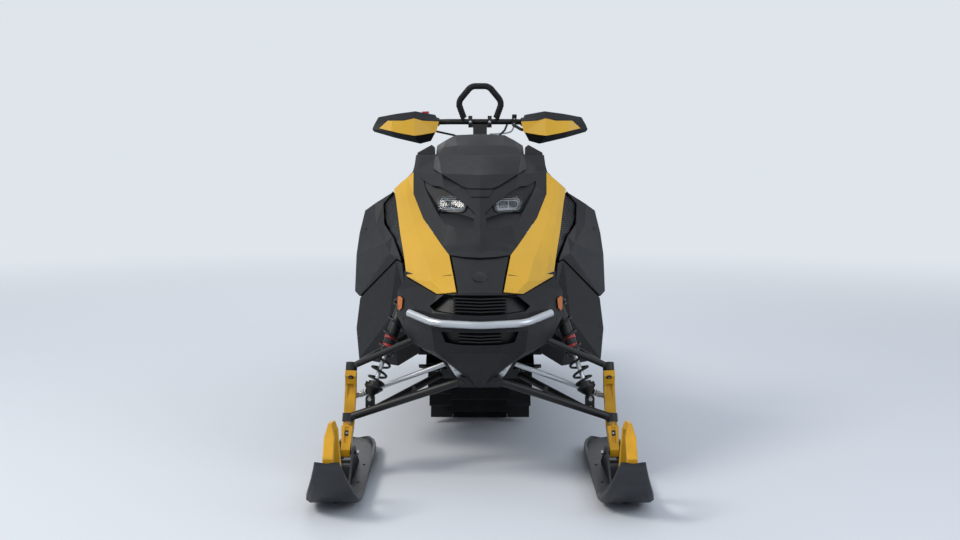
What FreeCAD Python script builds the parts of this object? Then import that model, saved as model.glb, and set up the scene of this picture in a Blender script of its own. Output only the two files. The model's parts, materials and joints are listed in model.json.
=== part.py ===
import FreeCAD, Part
import math
import os

# A mountain snowmobile: two skis on an A-arm front end, a faceted engine hood, a short seat on a
# long tunnel, and one deep-lugged track on slide rails. Millimetres, +Z up, the nose towards -Y.
# Lengthways places are written as the distance behind the ski tips, sideways places for the
# machine's left side (+X), and the right side is the mirror of it.

V = FreeCAD.Vector

# Driving dimensions
TIPS_TO_ORIGIN = 1620.0          # the origin lies this far behind the ski tips
PANEL_WALL = 5.0                 # moulded bodywork
SHUT_LINE = 3.0                  # gap between two panels

SKI_STANCE = 926.0               # between the two ski bolts
SKI_BOLT_BEHIND_TIP = 600.0
SKI_BOLT_HEIGHT = 95.0
SKI_BOLT_RADIUS = 6.0
SKI_SKIN = 11.0
SADDLE_RIB = 8.0
SADDLE_SIDE_GAP = 6.0
FOOT_WIDTH = 32.0

LOWER_BALL = (458.0, 640.0, 209.0)
UPPER_BALL = (450.0, 700.0, 378.0)
BALL_RADIUS = 11.0
BALL_CLEARANCE = 0.1
BALL_HOUSING_RADIUS = 20.0
BALL_HOUSING_HEIGHT = 28.0
STUD_RADIUS = 7.0
STEERING_ARM_REACH = 92.0        # from the kingpin axis to the tie rod's stud
TIE_ROD_UP = 86.0                # along the kingpin axis, above the lower ball
STEERING_ARM_OVER_ROD = 24.0
STEERING_ARM_THICKNESS = 14.0
TIE_ROD_RADIUS = 9.0
TIE_STUD_RADIUS = 6.0
PITMAN_STUD_SPAN = 54.0          # between the tie rods' inner studs
PITMAN_PLATE_GAP = 34.0
PITMAN_EYE_RADIUS = 11.0         # open round a stud of TIE_STUD_RADIUS
PITMAN_PLATE = 6.0
TIE_ROD_SHANK_RADIUS = 6.0
ROD_ROOM_FRONT = 42.0            # the gap in the bulkhead ahead of the tie rods' outer studs
ROD_ROOM_REAR = 34.0
DECK_BOTTOM = 470.0
PITMAN_STUD_HEIGHT = 414.0
PITMAN_STUD_OFFSET = 2.0         # each stud stands this far outside the middle of its open eye
PIN_CLEARANCE = 0.1

LOWER_ARM_FRONT_PIVOT = (62.0, 566.0, 352.0)
LOWER_ARM_REAR_PIVOT = (128.0, 835.0, 335.0)
UPPER_ARM_FRONT_PIVOT = (186.0, 604.0, 506.0)
UPPER_ARM_REAR_PIVOT = (186.0, 900.0, 505.0)
LOWER_ARM_TUBE_RADIUS = 14.0
UPPER_ARM_TUBE_RADIUS = 11.0
ARM_SLEEVE_RADIUS = 17.0
ARM_SLEEVE_LENGTH = 46.0
SHOCK_LOWER = (384.0, 668.0, 272.0)
SHOCK_UPPER = (260.0, 783.0, 628.0)
SHOCK_EYE_WIDTH = 33.0
SPRING_RADIUS = 27.0
SPRING_WIRE = 4.5
SPRING_TURNS = 5.5

TRACK_WIDTH = 406.0
TRACK_PITCH = 88.9
TRACK_PITCHES = 44
TRACK_BAND = 8.0
LUG_HEIGHT = 76.0
LUG_ROOT = 26.0
LUG_TIP = 9.0
DRIVE_AXLE = (1235.0, 400.0)     # behind the tips, height
SPROCKET_RADIUS = 112.0
REAR_IDLER_RADIUS = 98.0
RAIL_FRONT = (1500.0, 118.0)
RAIL_BEND = (1625.0, 84.0)
RAIL_SPACING = 230.0
RAIL_THICKNESS = 14.0

TUNNEL_HALF_WIDTH = 230.0
TUNNEL_WALL = 4.0
TUNNEL_TOP = 640.0
TUNNEL_FRONT = 1020.0
TUNNEL_REAR = 2885.0
TUNNEL_REAR_DROP = 34.0          # the top falls towards the rear
BOARD_FRONT_HEIGHT = 372.0
BOARD_REAR_HEIGHT = 440.0
BOARD_FRONT = 1085.0
BOARD_REAR = 2790.0
BOARD_FRONT_WIDTH = 188.0
BOARD_REAR_WIDTH = 146.0
BOARD_PLATE = 5.0
BOARD_RAIL_RADIUS = 13.0
CARGO_ANCHOR_SPAN = (240.0, 300.0)
CARGO_ANCHOR_MIDDLE = 2450.0
CARGO_ANCHOR_RADIUS = 5.0
CARRIER_WHEEL = (1900.0, 372.0)
CARRIER_RADIUS = 60.0
BOGIE_RADIUS = 66.0
BOGIES = (1770.0, 2120.0, 2470.0)

STEERING_LEAN = 18.0             # degrees, the post leans back
BAR_CENTRE = (1395.0, 1238.0)
BAR_RADIUS = 11.0
BAR_HALF_LENGTH = 372.0
GRIP_RADIUS = 17.0
GRIP_LENGTH = BAR_HALF_LENGTH / 3
POST_RADIUS = 16.0
BAR_CLAMP_HALF = 60.0            # the clamp on the post, and the feet of the grab loop beside it
LOOP_RADIUS = 12.0
GUARD_CLAMP_PLACE = 0.46 * BAR_HALF_LENGTH
GUARD_CLAMP_HALF = 10.0
BRAKE_PLACE = (BAR_CLAMP_HALF + LOOP_RADIUS + GUARD_CLAMP_PLACE - GUARD_CLAMP_HALF) / 2
THROTTLE_PLACE = (GUARD_CLAMP_PLACE + GUARD_CLAMP_HALF + BAR_HALF_LENGTH - GRIP_LENGTH) / 2


# Points, and solids from them

def at(x, behind_tip, z):
    """A point from its sideways place, its distance behind the ski tips and its height."""
    return V(x, behind_tip - TIPS_TO_ORIGIN, z)


def from_triangles(triangles):
    """A closed solid from planar triangles that share their edges."""
    faces = [Part.Face(Part.makePolygon([a, b, c, a])) for a, b, c in triangles
             if (b - a).cross(c - a).Length > 0.01]
    shell = Part.makeShell(faces)
    shell.sewShape()
    solid = Part.makeSolid(shell)
    if solid.Volume < 0:
        solid.reverse()
    return solid


def split_quad(a, b, c, d):
    return [(a, b, c), (a, c, d)]


def skinned(sections):
    """A solid through closed sections that all have the same number of points."""
    triangles = []
    for first, second in zip(sections[:-1], sections[1:]):
        count = len(first)
        for k in range(count):
            n = (k + 1) % count
            triangles += split_quad(first[k], first[n], second[n], second[k])
    for section in (sections[0], sections[-1]):
        middle = V(0, 0, 0)
        for p in section:
            middle = middle + p
        middle = middle / len(section)
        for k in range(len(section)):
            triangles.append((middle, section[k], section[(k + 1) % len(section)]))
    return from_triangles(triangles)


def panel(rows, wall=PANEL_WALL, inward_sign=1):
    """A moulded panel: rows of points give its outer face, and its wall is offset along the
    normals. inward_sign picks the side that the wall grows to."""
    n_rows, n_cols = len(rows), len(rows[0])
    normals = [[V(0, 0, 0) for _ in range(n_cols)] for _ in range(n_rows)]
    for i in range(n_rows - 1):
        for j in range(n_cols - 1):
            a, b, c, d = rows[i][j], rows[i][j + 1], rows[i + 1][j + 1], rows[i + 1][j]
            n = (c - a).cross(d - b)
            if n.Length > 0.01:
                n.normalize()
                for r, k in ((i, j), (i, j + 1), (i + 1, j + 1), (i + 1, j)):
                    normals[r][k] = normals[r][k] + n
    inner = []
    for i in range(n_rows):
        inner.append([])
        for j in range(n_cols):
            n = V(normals[i][j])
            n.normalize()
            inner[i].append(rows[i][j] + n * (wall * inward_sign))
    triangles = []
    for i in range(n_rows - 1):
        for j in range(n_cols - 1):
            triangles += split_quad(rows[i][j], rows[i][j + 1], rows[i + 1][j + 1], rows[i + 1][j])
            triangles += split_quad(inner[i][j], inner[i + 1][j], inner[i + 1][j + 1],
                                    inner[i][j + 1])
    border = [(0, j) for j in range(n_cols)] + [(i, n_cols - 1) for i in range(1, n_rows)]
    border += [(n_rows - 1, j) for j in range(n_cols - 2, -1, -1)]
    border += [(i, 0) for i in range(n_rows - 2, 0, -1)]
    for (i, j), (k, m) in zip(border, border[1:] + border[:1]):
        triangles += split_quad(rows[i][j], inner[i][j], inner[k][m], rows[k][m])
    return from_triangles(triangles)


def both_sides(half_row):
    """A full row from one that starts on the centreline and runs out to the left."""
    return [V(-p.x, p.y, p.z) for p in reversed(half_row[1:])] + half_row


def side_prism(outline, x0, x1):
    """Extrudes an outline of (behind tip, height) sideways from x0 to x1."""
    points = [at(x0, s, z) for s, z in outline]
    return Part.Face(Part.makePolygon(points + points[:1])).extrude(V(x1 - x0, 0, 0))


def front_prism(outline, s0, s1):
    """Extrudes an outline of (x, height) lengthways from s0 to s1 behind the tips."""
    points = [at(x, s0, z) for x, z in outline]
    return Part.Face(Part.makePolygon(points + points[:1])).extrude(V(0, s1 - s0, 0))


def plan_prism(outline, z0, z1):
    """Extrudes an outline of (x, behind tip) upwards from z0 to z1."""
    points = [at(x, s, z0) for x, s in outline]
    return Part.Face(Part.makePolygon(points + points[:1])).extrude(V(0, 0, z1 - z0))


def block(x0, x1, s0, s1, z0, z1):
    return Part.makeBox(x1 - x0, s1 - s0, z1 - z0, at(x0, s0, z0))


def rod(a, b, radius):
    return Part.makeCylinder(radius, (b - a).Length, a, b - a)


def bent_rod(points, radius, bend=3.0):
    """A round bar or tube along straight runs, turned at each corner to a bend radius that is
    given in bar radii and cut down where a run is too short for it."""
    edges = []
    start = points[0]
    for before, corner, after in zip(points[:-2], points[1:-1], points[2:]):
        back, ahead = before - corner, after - corner
        half = (math.pi - back.getAngle(ahead)) / 2
        trim = min(bend * radius * math.tan(half), back.Length * 0.45, ahead.Length * 0.45)
        back.normalize()
        ahead.normalize()
        into, out = corner + back * trim, corner + ahead * trim
        reach = trim / math.tan(half) / math.cos(half)
        middle = back + ahead
        middle.normalize()
        centre = corner + middle * reach
        inner = centre - middle * (trim / math.tan(half))
        edges += [Part.makeLine(start, into), Part.Arc(into, inner, out).toShape()]
        start = out
    edges.append(Part.makeLine(start, points[-1]))
    section = Part.makeCircle(radius, points[0], points[1] - points[0])
    return Part.Wire(edges).makePipeShell([Part.Wire(section)], True, True)


def centred_rod(centre, axis, radius, length):
    direction = V(axis)
    direction.normalize()
    return Part.makeCylinder(radius, length, centre - direction * (length / 2), direction)


def along(a, b, share):
    return a + (b - a) * share


def grown(outline, by):
    """The outline with every corner moved out from its middle."""
    ca = sum(a for a, _ in outline) / len(outline)
    cb = sum(b for _, b in outline) / len(outline)
    moved = []
    for a, b in outline:
        length = math.hypot(a - ca, b - cb)
        moved.append((a + (a - ca) / length * by, b + (b - cb) / length * by))
    return moved


def right_of(solid):
    """The mirror of a left-hand piece."""
    return solid.mirror(V(0, 0, 0), V(1, 0, 0))


def pair(solid):
    return Part.makeCompound([solid, right_of(solid)])


# Steering geometry, left side

lower_ball = at(*LOWER_BALL)
upper_ball = at(*UPPER_BALL)
kingpin = upper_ball - lower_ball
kingpin_length = kingpin.Length
kingpin.normalize()
ski_x = SKI_STANCE / 2
ski_bolt = at(ski_x, SKI_BOLT_BEHIND_TIP, SKI_BOLT_HEIGHT)
kingpin_frame = FreeCAD.Placement(lower_ball, FreeCAD.Rotation(V(0, 0, 1), kingpin))
tie_outer = kingpin_frame.multVec(V(0, STEERING_ARM_REACH, TIE_ROD_UP))
tie_inner = V(PITMAN_STUD_SPAN / 2, tie_outer.y, PITMAN_STUD_HEIGHT)
caster_axis = V(0, kingpin.y, kingpin.z)
caster_axis.normalize()
pitman_pivot = V(0, tie_inner.y, tie_inner.z) - V(0, caster_axis.z, -caster_axis.y) * STEERING_ARM_REACH
pitman_frame = FreeCAD.Placement(pitman_pivot, FreeCAD.Rotation(V(0, 0, 1), caster_axis))


def spindle():
    """A forged ski leg: a block under the upper ball, a column behind the lower ball, a steering
    arm to the rear and a foot with the bore for the ski bolt."""
    half = 19.0
    foot = kingpin_frame.inverse().multVec(ski_bolt)
    side = [(-19, 142), (-19, 163), (19, 163), (36, 130), (56, 104), (58, 20), (52, -30),
            (foot.y + 20, foot.z + 18), (foot.y + 12, foot.z - 16), (foot.y - 12, foot.z - 16),
            (foot.y - 24, foot.z + 6), (-24, -52), (-20, -30), (22, -30), (28, -22), (28, 34),
            (14, 112), (-6, 136)]
    points = [V(-half, y, z) for y, z in side]
    leg = Part.Face(Part.makePolygon(points + points[:1])).extrude(V(2 * half, 0, 0))
    front = [(-half, 170), (half, 170), (half, -40), (FOOT_WIDTH / 2, foot.z + 30),
             (FOOT_WIDTH / 2, foot.z - 20), (-FOOT_WIDTH / 2, foot.z - 20),
             (-FOOT_WIDTH / 2, foot.z + 30), (-half, -40)]
    points = [V(x, -60, z) for x, z in front]
    leg = leg.common(Part.Face(Part.makePolygon(points + points[:1])).extrude(V(0, 160, 0)))
    leg = leg.cut(Part.makeBox(20, 14, 96, V(-10, 8, 30)))
    leg = leg.cut(Part.makeBox(14, 12, 56, V(-7, foot.y - 30, foot.z + 30)))
    arm_z = TIE_ROD_UP + STEERING_ARM_OVER_ROD - STEERING_ARM_THICKNESS / 2
    arm = Part.makeBox(24, STEERING_ARM_REACH - 40, STEERING_ARM_THICKNESS, V(-12, 40, arm_z))
    arm = arm.fuse(Part.makeCylinder(13, STEERING_ARM_THICKNESS, V(0, STEERING_ARM_REACH, arm_z)))
    studs = [Part.makeSphere(BALL_RADIUS, V(0, 0, 0)),
             Part.makeCylinder(STUD_RADIUS, 34, V(0, 0, -34)),
             Part.makeSphere(BALL_RADIUS, V(0, 0, kingpin_length)),
             Part.makeCylinder(STUD_RADIUS, kingpin_length - 160, V(0, 0, 160))]
    solid = leg.fuse([arm] + studs)
    solid = solid.cut(Part.makeCylinder(TIE_STUD_RADIUS + PIN_CLEARANCE, 40,
                      V(0, STEERING_ARM_REACH, arm_z - 10)))
    solid.Placement = kingpin_frame
    return solid.cut(centred_rod(ski_bolt, V(1, 0, 0), SKI_BOLT_RADIUS + PIN_CLEARANCE, 90))


def tie_rod():
    """A tube from the steering arm's stud to an open eye on the pitman arm."""
    arm_top = TIE_ROD_UP + STEERING_ARM_OVER_ROD + STEERING_ARM_THICKNESS / 2

    def on_stud(radius, low, high):
        base = kingpin_frame.multVec(V(0, STEERING_ARM_REACH, low))
        return Part.makeCylinder(radius, high - low, base, kingpin)

    shank = along(tie_inner, tie_outer, 0.18)
    solid = rod(tie_outer, shank, TIE_ROD_RADIUS).fuse([rod(shank, tie_inner, TIE_ROD_SHANK_RADIUS),
        on_stud(13, TIE_ROD_UP - 9, TIE_ROD_UP + 9), on_stud(TIE_STUD_RADIUS, TIE_ROD_UP, arm_top + 10),
        on_stud(9, arm_top + 0.3, arm_top + 9), centred_rod(tie_inner, caster_axis, PITMAN_EYE_RADIUS + 6, 12)])
    solid = solid.fuse(centred_rod(along(tie_outer, tie_inner, 0.09), tie_inner - tie_outer, 11, 26))
    return solid.cut(centred_rod(tie_inner, caster_axis, PITMAN_EYE_RADIUS, 40))


def pitman_arm():
    """Two plates on a hub, with the tie rods' open eyes round the pins between them."""
    half, gap = PITMAN_STUD_SPAN / 2, PITMAN_PLATE_GAP / 2
    end = STEERING_ARM_REACH
    plate = [(-16, -10), (16, -10), (20, end - 32), (half + 11, end - 14), (half + 11, end + 12),
             (-half - 11, end + 12), (-half - 11, end - 14), (-20, end - 32)]
    deep = gap + PITMAN_PLATE
    solids = []
    for z in (gap, -deep):
        points = [V(x, y, z) for x, y in plate]
        solids.append(Part.Face(Part.makePolygon(points + points[:1])).extrude(V(0, 0, PITMAN_PLATE)))
    solids.append(Part.makeCylinder(18, 2 * deep, V(0, 0, -deep)))
    for x in (-half - PITMAN_STUD_OFFSET, half + PITMAN_STUD_OFFSET):
        solids.append(Part.makeCylinder(TIE_STUD_RADIUS, 2 * deep, V(x, end, -deep)))
    solid = solids[0].fuse(solids[1:])
    solid = solid.cut(Part.makeCylinder(8 + PIN_CLEARANCE, 2 * deep + 20, V(0, 0, -deep - 10)))
    solid.Placement = pitman_frame
    return solid


# Skis

# behind tip, bottom, rim height over the bottom, half width
SKI_SECTIONS = [
    (0, 190, 13, 38), (26, 160, 15, 45), (60, 116, 18, 57), (105, 70, 22, 72), (165, 34, 27, 84),
    (250, 13, 32, 86), (420, 12, 36, 85), (600, 12, 40, 84), (800, 12, 36, 82), (980, 12, 30, 76),
    (1050, 19, 24, 64), (1085, 32, 16, 44),
]
SKI_RIM = 10.0


def ski_body():
    """The ski: a rimmed tray with an upturned tip, a keel, a saddle of two ribs and the bolt."""
    sections = []
    for s, bottom, rim, half in SKI_SECTIONS:
        floor = bottom + min(SKI_SKIN, rim * 0.7)
        outline = [(-half, bottom + rim), (-half, bottom + rim * 0.35), (-half + 12, bottom),
                   (half - 12, bottom), (half, bottom + rim * 0.35), (half, bottom + rim),
                   (half - SKI_RIM, bottom + rim), (half - SKI_RIM - 6, floor),
                   (-half + SKI_RIM + 6, floor), (-half + SKI_RIM, bottom + rim)]
        sections.append([at(ski_x + x, s, z) for x, z in outline])
    tray = skinned(sections)
    keel = side_prism([(225, 16), (330, 0), (880, 0), (975, 16)], ski_x - 9, ski_x + 9)
    gap = FOOT_WIDTH / 2 + SADDLE_SIDE_GAP
    b, h = SKI_BOLT_BEHIND_TIP, SKI_BOLT_HEIGHT
    rib = [(b - 175, 20), (b - 95, 66), (b - 26, h + 20), (b + 26, h + 20), (b + 110, 62), (b + 190, 20)]
    ribs = [side_prism(rib, ski_x + gap, ski_x + gap + SADDLE_RIB),
            side_prism(rib, ski_x - gap - SADDLE_RIB, ski_x - gap)]
    rubber = side_prism([(b - 66, 20), (b - 60, 58), (b - 34, 60), (b - 20, 52), (b + 20, 52),
                         (b + 34, 60), (b + 60, 58), (b + 66, 20)], ski_x - gap - 1, ski_x + gap + 1)
    bolt = centred_rod(ski_bolt, V(1, 0, 0), SKI_BOLT_RADIUS, 2 * (gap + SADDLE_RIB) + 16)
    return tray.fuse([keel, rubber, bolt] + ribs)


def ski_handle(ski):
    """The hoop that the ski is lifted by, pointed at its top when seen from the front."""
    outer = [(22, 168), (24, 206), (104, 300), (186, 292), (352, 18)]
    inner = [(42, 145), (44, 184), (112, 276), (172, 270), (318, 18)]
    hoop = side_prism(outer + list(reversed(inner)), ski_x - 16, ski_x + 16)
    nose = [(-16, 10), (-16, 262), (-5, 302), (5, 302), (16, 262), (16, 10)]
    hoop = hoop.common(front_prism([(ski_x + x, z) for x, z in nose], 0, 400))
    return hoop.cut(ski)


# Front suspension

def a_arm(ball, front_pivot, rear_pivot, radius, neck_share):
    """Two tubes from sleeves on the bulkhead, which meet at the ball housing."""
    neck = along(ball, front_pivot, neck_share)
    solid = centred_rod(ball, kingpin, BALL_HOUSING_RADIUS, BALL_HOUSING_HEIGHT).fuse([
        rod(along(ball, front_pivot, 0.03), front_pivot, radius),
        rod(neck, rear_pivot, radius * 0.9),
        centred_rod(front_pivot, V(0, 1, 0), ARM_SLEEVE_RADIUS, ARM_SLEEVE_LENGTH),
        centred_rod(rear_pivot, V(0, 1, 0), ARM_SLEEVE_RADIUS, ARM_SLEEVE_LENGTH)])
    return solid.cut(centred_rod(ball, kingpin, BALL_RADIUS + BALL_CLEARANCE, BALL_HOUSING_HEIGHT + 2))


def lower_arm():
    arm = a_arm(lower_ball, at(*LOWER_ARM_FRONT_PIVOT), at(*LOWER_ARM_REAR_PIVOT),
                LOWER_ARM_TUBE_RADIUS, 0.24)
    x, s, z = SHOCK_LOWER
    plate = plan_prism([(x + 14, 626), (x - 24, 620), (x - 60, 652), (x - 30, s + 26), (x + 14, s + 26)],
                       z - 36, z - 26)
    bracket = [(x - 16, z - 36), (x - 16, z + 2), (x - 8, z + 9), (x + 8, z + 9), (x + 14, z + 2),
               (x + 14, z - 36)]
    half = SHOCK_EYE_WIDTH / 2
    ears = [front_prism(bracket, s + half, s + half + 6), front_prism(bracket, s - half - 6, s - half)]
    return arm.fuse([plate] + ears)


def upper_arm():
    return a_arm(upper_ball, at(*UPPER_ARM_FRONT_PIVOT), at(*UPPER_ARM_REAR_PIVOT),
                 UPPER_ARM_TUBE_RADIUS, 0.03)


def coil(a, b, radius, wire, turns, steps_per_turn=10):
    """A coil spring as a run of hexagonal sections along a helix."""
    axis = b - a
    turn = FreeCAD.Placement(a, FreeCAD.Rotation(V(0, 0, 1), axis))
    sections = []
    steps = int(turns * steps_per_turn)
    for k in range(steps + 1):
        angle = 2 * math.pi * turns * k / steps
        rise = (axis.Length * k) / steps
        section = []
        for m in range(5):
            t = 2 * math.pi / 5 * m
            r = radius + wire * math.cos(t)
            section.append(turn.multVec(V(r * math.cos(angle), r * math.sin(angle),
                                          rise + wire * math.sin(t))))
        sections.append(section)
    return skinned(sections)


def ski_shock(low, high, spring_radius, wire, turns):
    """A coil-over shock: eyes, spring seat, rod, coil, adjuster collar and body."""
    return centred_rod(low, V(0, 1, 0), 13, SHOCK_EYE_WIDTH).fuse([
        rod(low, high, 8), rod(along(low, high, 0.03), along(low, high, 0.12), 11),
        rod(along(low, high, 0.115), along(low, high, 0.135), spring_radius + wire + 2),
        rod(along(low, high, 0.5), along(low, high, 0.88), 21),
        rod(along(low, high, 0.62), along(low, high, 0.66), spring_radius + wire + 2),
        centred_rod(high, V(0, 1, 0), 14, 38),
        coil(along(low, high, 0.13), along(low, high, 0.625), spring_radius, wire, turns)])


def bulkhead_core():
    """The hollow casting as it is before its two halves and its deck are parted."""
    nose = [(-100, 366), (-58, 334), (58, 334), (100, 366), (168, 480), (168, 530), (-168, 530),
            (-168, 480)]
    hollow = [(-90, 372), (-52, 344), (52, 344), (90, 372), (158, 484), (158, 520), (-158, 520),
              (-158, 484)]
    return front_prism(nose, 600, 930).cut(front_prism(hollow, 610, 940))


def sleeve_ears(pivots):
    """Two webs to each arm sleeve, on both sides."""
    half = ARM_SLEEVE_LENGTH / 2
    webs = []
    for side in (1, -1):
        for x, s, z in pivots:
            for start in (s - half - 8, s + half):
                web = [(side * (x + 6), z + 17), (side * (x + 6), z - 17),
                       (side * (x - 62), z - 17), (side * (x - 62), z + 17)]
                webs.append(front_prism(web, start, start + 8))
    return webs


def front_bulkhead():
    """The two cast halves under the deck that carry the lower arms. The tie rods pass between
    them, and the front one holds the pitman arm's pin."""
    rod_s = tie_outer.y + TIPS_TO_ORIGIN
    core = bulkhead_core()
    front = core.common(block(-200, 200, 500, rod_s - ROD_ROOM_FRONT, 300, DECK_BOTTOM))
    rear = core.common(block(-200, 200, rod_s + ROD_ROOM_REAR, 1000, 300, DECK_BOTTOM))
    bar = centred_rod(pitman_pivot, caster_axis, 8, 220).common(block(-60, 60, 600, 900, 340, 520))
    collar = Part.makeCylinder(14, 10, V(0, 0, -PITMAN_PLATE_GAP / 2 - PITMAN_PLATE - 10.3))
    collar.Placement = pitman_frame
    front = front.fuse([bar, collar, block(-40, 40, 534, 602, 336, 368)] + sleeve_ears([LOWER_ARM_FRONT_PIVOT]))
    rear = rear.fuse(sleeve_ears([LOWER_ARM_REAR_PIVOT]))
    return Part.makeCompound([front, rear])


def shock_towers():
    """The deck over the two halves, with the upper arms' ears, the towers for the shock tops and
    the rails back to the tunnel."""
    core = bulkhead_core().common(block(-200, 200, 500, 1000, DECK_BOTTOM, 600))
    core = core.fuse([block(100, 166, 572, 602, 490, 530), block(-166, -100, 572, 602, 490, 530)]
                     + sleeve_ears([UPPER_ARM_FRONT_PIVOT, UPPER_ARM_REAR_PIVOT]))
    x, s, z = SHOCK_UPPER
    tower = [(150, 525), (168, 525), (x - 22, z - 32), (x + 12, z - 14), (x + 18, z + 8),
             (x + 8, z + 20), (x - 24, z + 20), (150, 560)]
    for side in (1, -1):
        for start in (s - 27, s + 19):
            core = core.fuse(front_prism([(side * a, b) for a, b in tower], start, start + 8))
        core = core.fuse(block(min(side * 146, side * 166), max(side * 146, side * 166),
                               900, TUNNEL_FRONT, 490, 530))
    return core


# Tunnel and boards

def tunnel_top(s):
    return TUNNEL_TOP - TUNNEL_REAR_DROP * (s - TUNNEL_FRONT) / (TUNNEL_REAR - TUNNEL_FRONT)


def board_top(s):
    rise = (BOARD_REAR_HEIGHT - BOARD_FRONT_HEIGHT) / (BOARD_REAR - BOARD_FRONT)
    return BOARD_FRONT_HEIGHT + rise * (s - BOARD_FRONT)


def tunnel():
    """A folded channel over the track: top, sides, a front wall, a rear cross member and the drop
    brackets of the skid's arms."""
    f, r = TUNNEL_FRONT, TUNNEL_REAR
    w, t = TUNNEL_HALF_WIDTH, TUNNEL_WALL
    outer = side_prism([(f, board_top(f)), (f, TUNNEL_TOP), (r, tunnel_top(r)), (r, board_top(r) + 60),
                        (r - 120, board_top(r - 120))], -w, w)
    inner = side_prism([(f + t, 300), (f + t, tunnel_top(f) - t), (r + 10, tunnel_top(r + 10) - t),
                        (r + 10, 300)], -w + t, w - t)
    shell = outer.cut(inner)
    shell = shell.fuse(block(-w, w, r - 5, r, board_top(r) + 62, tunnel_top(r) - 1))
    for side in (1, -1):
        x0, x1 = sorted((side * w, side * (w - t)))
        for s, z in ((CARRIER_WHEEL[0], CARRIER_WHEEL[1]), SKID_FRONT_ARM_TOP):
            shell = shell.fuse(side_prism([(s - 50, board_top(s) + 20), (s - 24, z - 26), (s + 24, z - 26),
                                           (s + 50, board_top(s) + 20)], x0, x1))
    dx, dy = CARGO_ANCHOR_SPAN
    slope = at(0, r, tunnel_top(r)) - at(0, f, tunnel_top(f))
    slope.normalize()
    square = V(0, -slope.z, slope.y)
    middle = at(0, CARGO_ANCHOR_MIDDLE, tunnel_top(CARGO_ANCHOR_MIDDLE))
    for x in (-dx / 2, dx / 2):
        for along_top in (-dy / 2, dy / 2):
            shell = shell.cut(centred_rod(middle + V(x, 0, 0) + slope * along_top, square,
                                          CARGO_ANCHOR_RADIUS, 40))
    return shell


def running_board():
    """A folded plate with grip slots, a rolled outer rail and a lip against the tunnel."""
    f, r, w = BOARD_FRONT, BOARD_REAR, TUNNEL_HALF_WIDTH
    plate = side_prism([(f, board_top(f)), (r, board_top(r)), (r, board_top(r) - BOARD_PLATE),
                        (f, board_top(f) - BOARD_PLATE)], w, w + BOARD_FRONT_WIDTH)
    taper = [(w, f), (w + BOARD_FRONT_WIDTH - BOARD_RAIL_RADIUS, f),
             (w + BOARD_REAR_WIDTH - BOARD_RAIL_RADIUS, r - 90), (w + 60, r), (w, r)]
    plate = plate.common(plan_prism(taper, 300, 500))
    lip = side_prism([(f, board_top(f)), (r, board_top(r)), (r, board_top(r) + 34), (f, board_top(f) + 34)],
                     w, w + 4)
    a = at(w + BOARD_FRONT_WIDTH - BOARD_RAIL_RADIUS, f, board_top(f) - 2)
    b = at(w + BOARD_REAR_WIDTH - BOARD_RAIL_RADIUS, r - 90, board_top(r - 90) - 2)
    c = at(w + 20, r, board_top(r) - 2)
    slots = []
    count = 9
    for k in range(count):
        s = f + 260 + (r - f - 420) * k / (count - 1)
        share = (s - f) / (r - f)
        reach = BOARD_FRONT_WIDTH + (BOARD_REAR_WIDTH - BOARD_FRONT_WIDTH) * share - 2 * BOARD_RAIL_RADIUS
        slots.append(block(w + 22, w + reach - 22, s - 46, s + 46, 300, 500))
    plate = plate.cut(Part.makeCompound(slots))
    return plate.fuse([lip, bent_rod([a, b, c], BOARD_RAIL_RADIUS)])


def rear_bumper(seat_on):
    w, s = TUNNEL_HALF_WIDTH + 10, TUNNEL_REAR
    tube = bent_rod([at(-w, s - 240, 560), at(-w, s + 10, 578), at(-w + 36, s + 74, 596),
                     at(w - 36, s + 74, 596), at(w, s + 10, 578), at(w, s - 240, 560)], 12)
    return tube.cut(seat_on)


def snow_flap():
    s, z = TUNNEL_REAR, tunnel_top(TUNNEL_REAR)
    side = [(s, z - 28), (s + 50, z - 58), (s + 355, 196), (s + 355, 182), (s + 46, z - 66), (s, z - 40)]
    flap = side_prism(side, -214, 214)
    return flap


def tail_light():
    s, z = TUNNEL_REAR, tunnel_top(TUNNEL_REAR)
    return front_prism([(-70, z - 22), (-60, z + 6), (60, z + 6), (70, z - 22)], s, s + 26)


# Track and skid

SKID_FRONT_ARM_TOP = (1400.0, 420.0)


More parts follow.
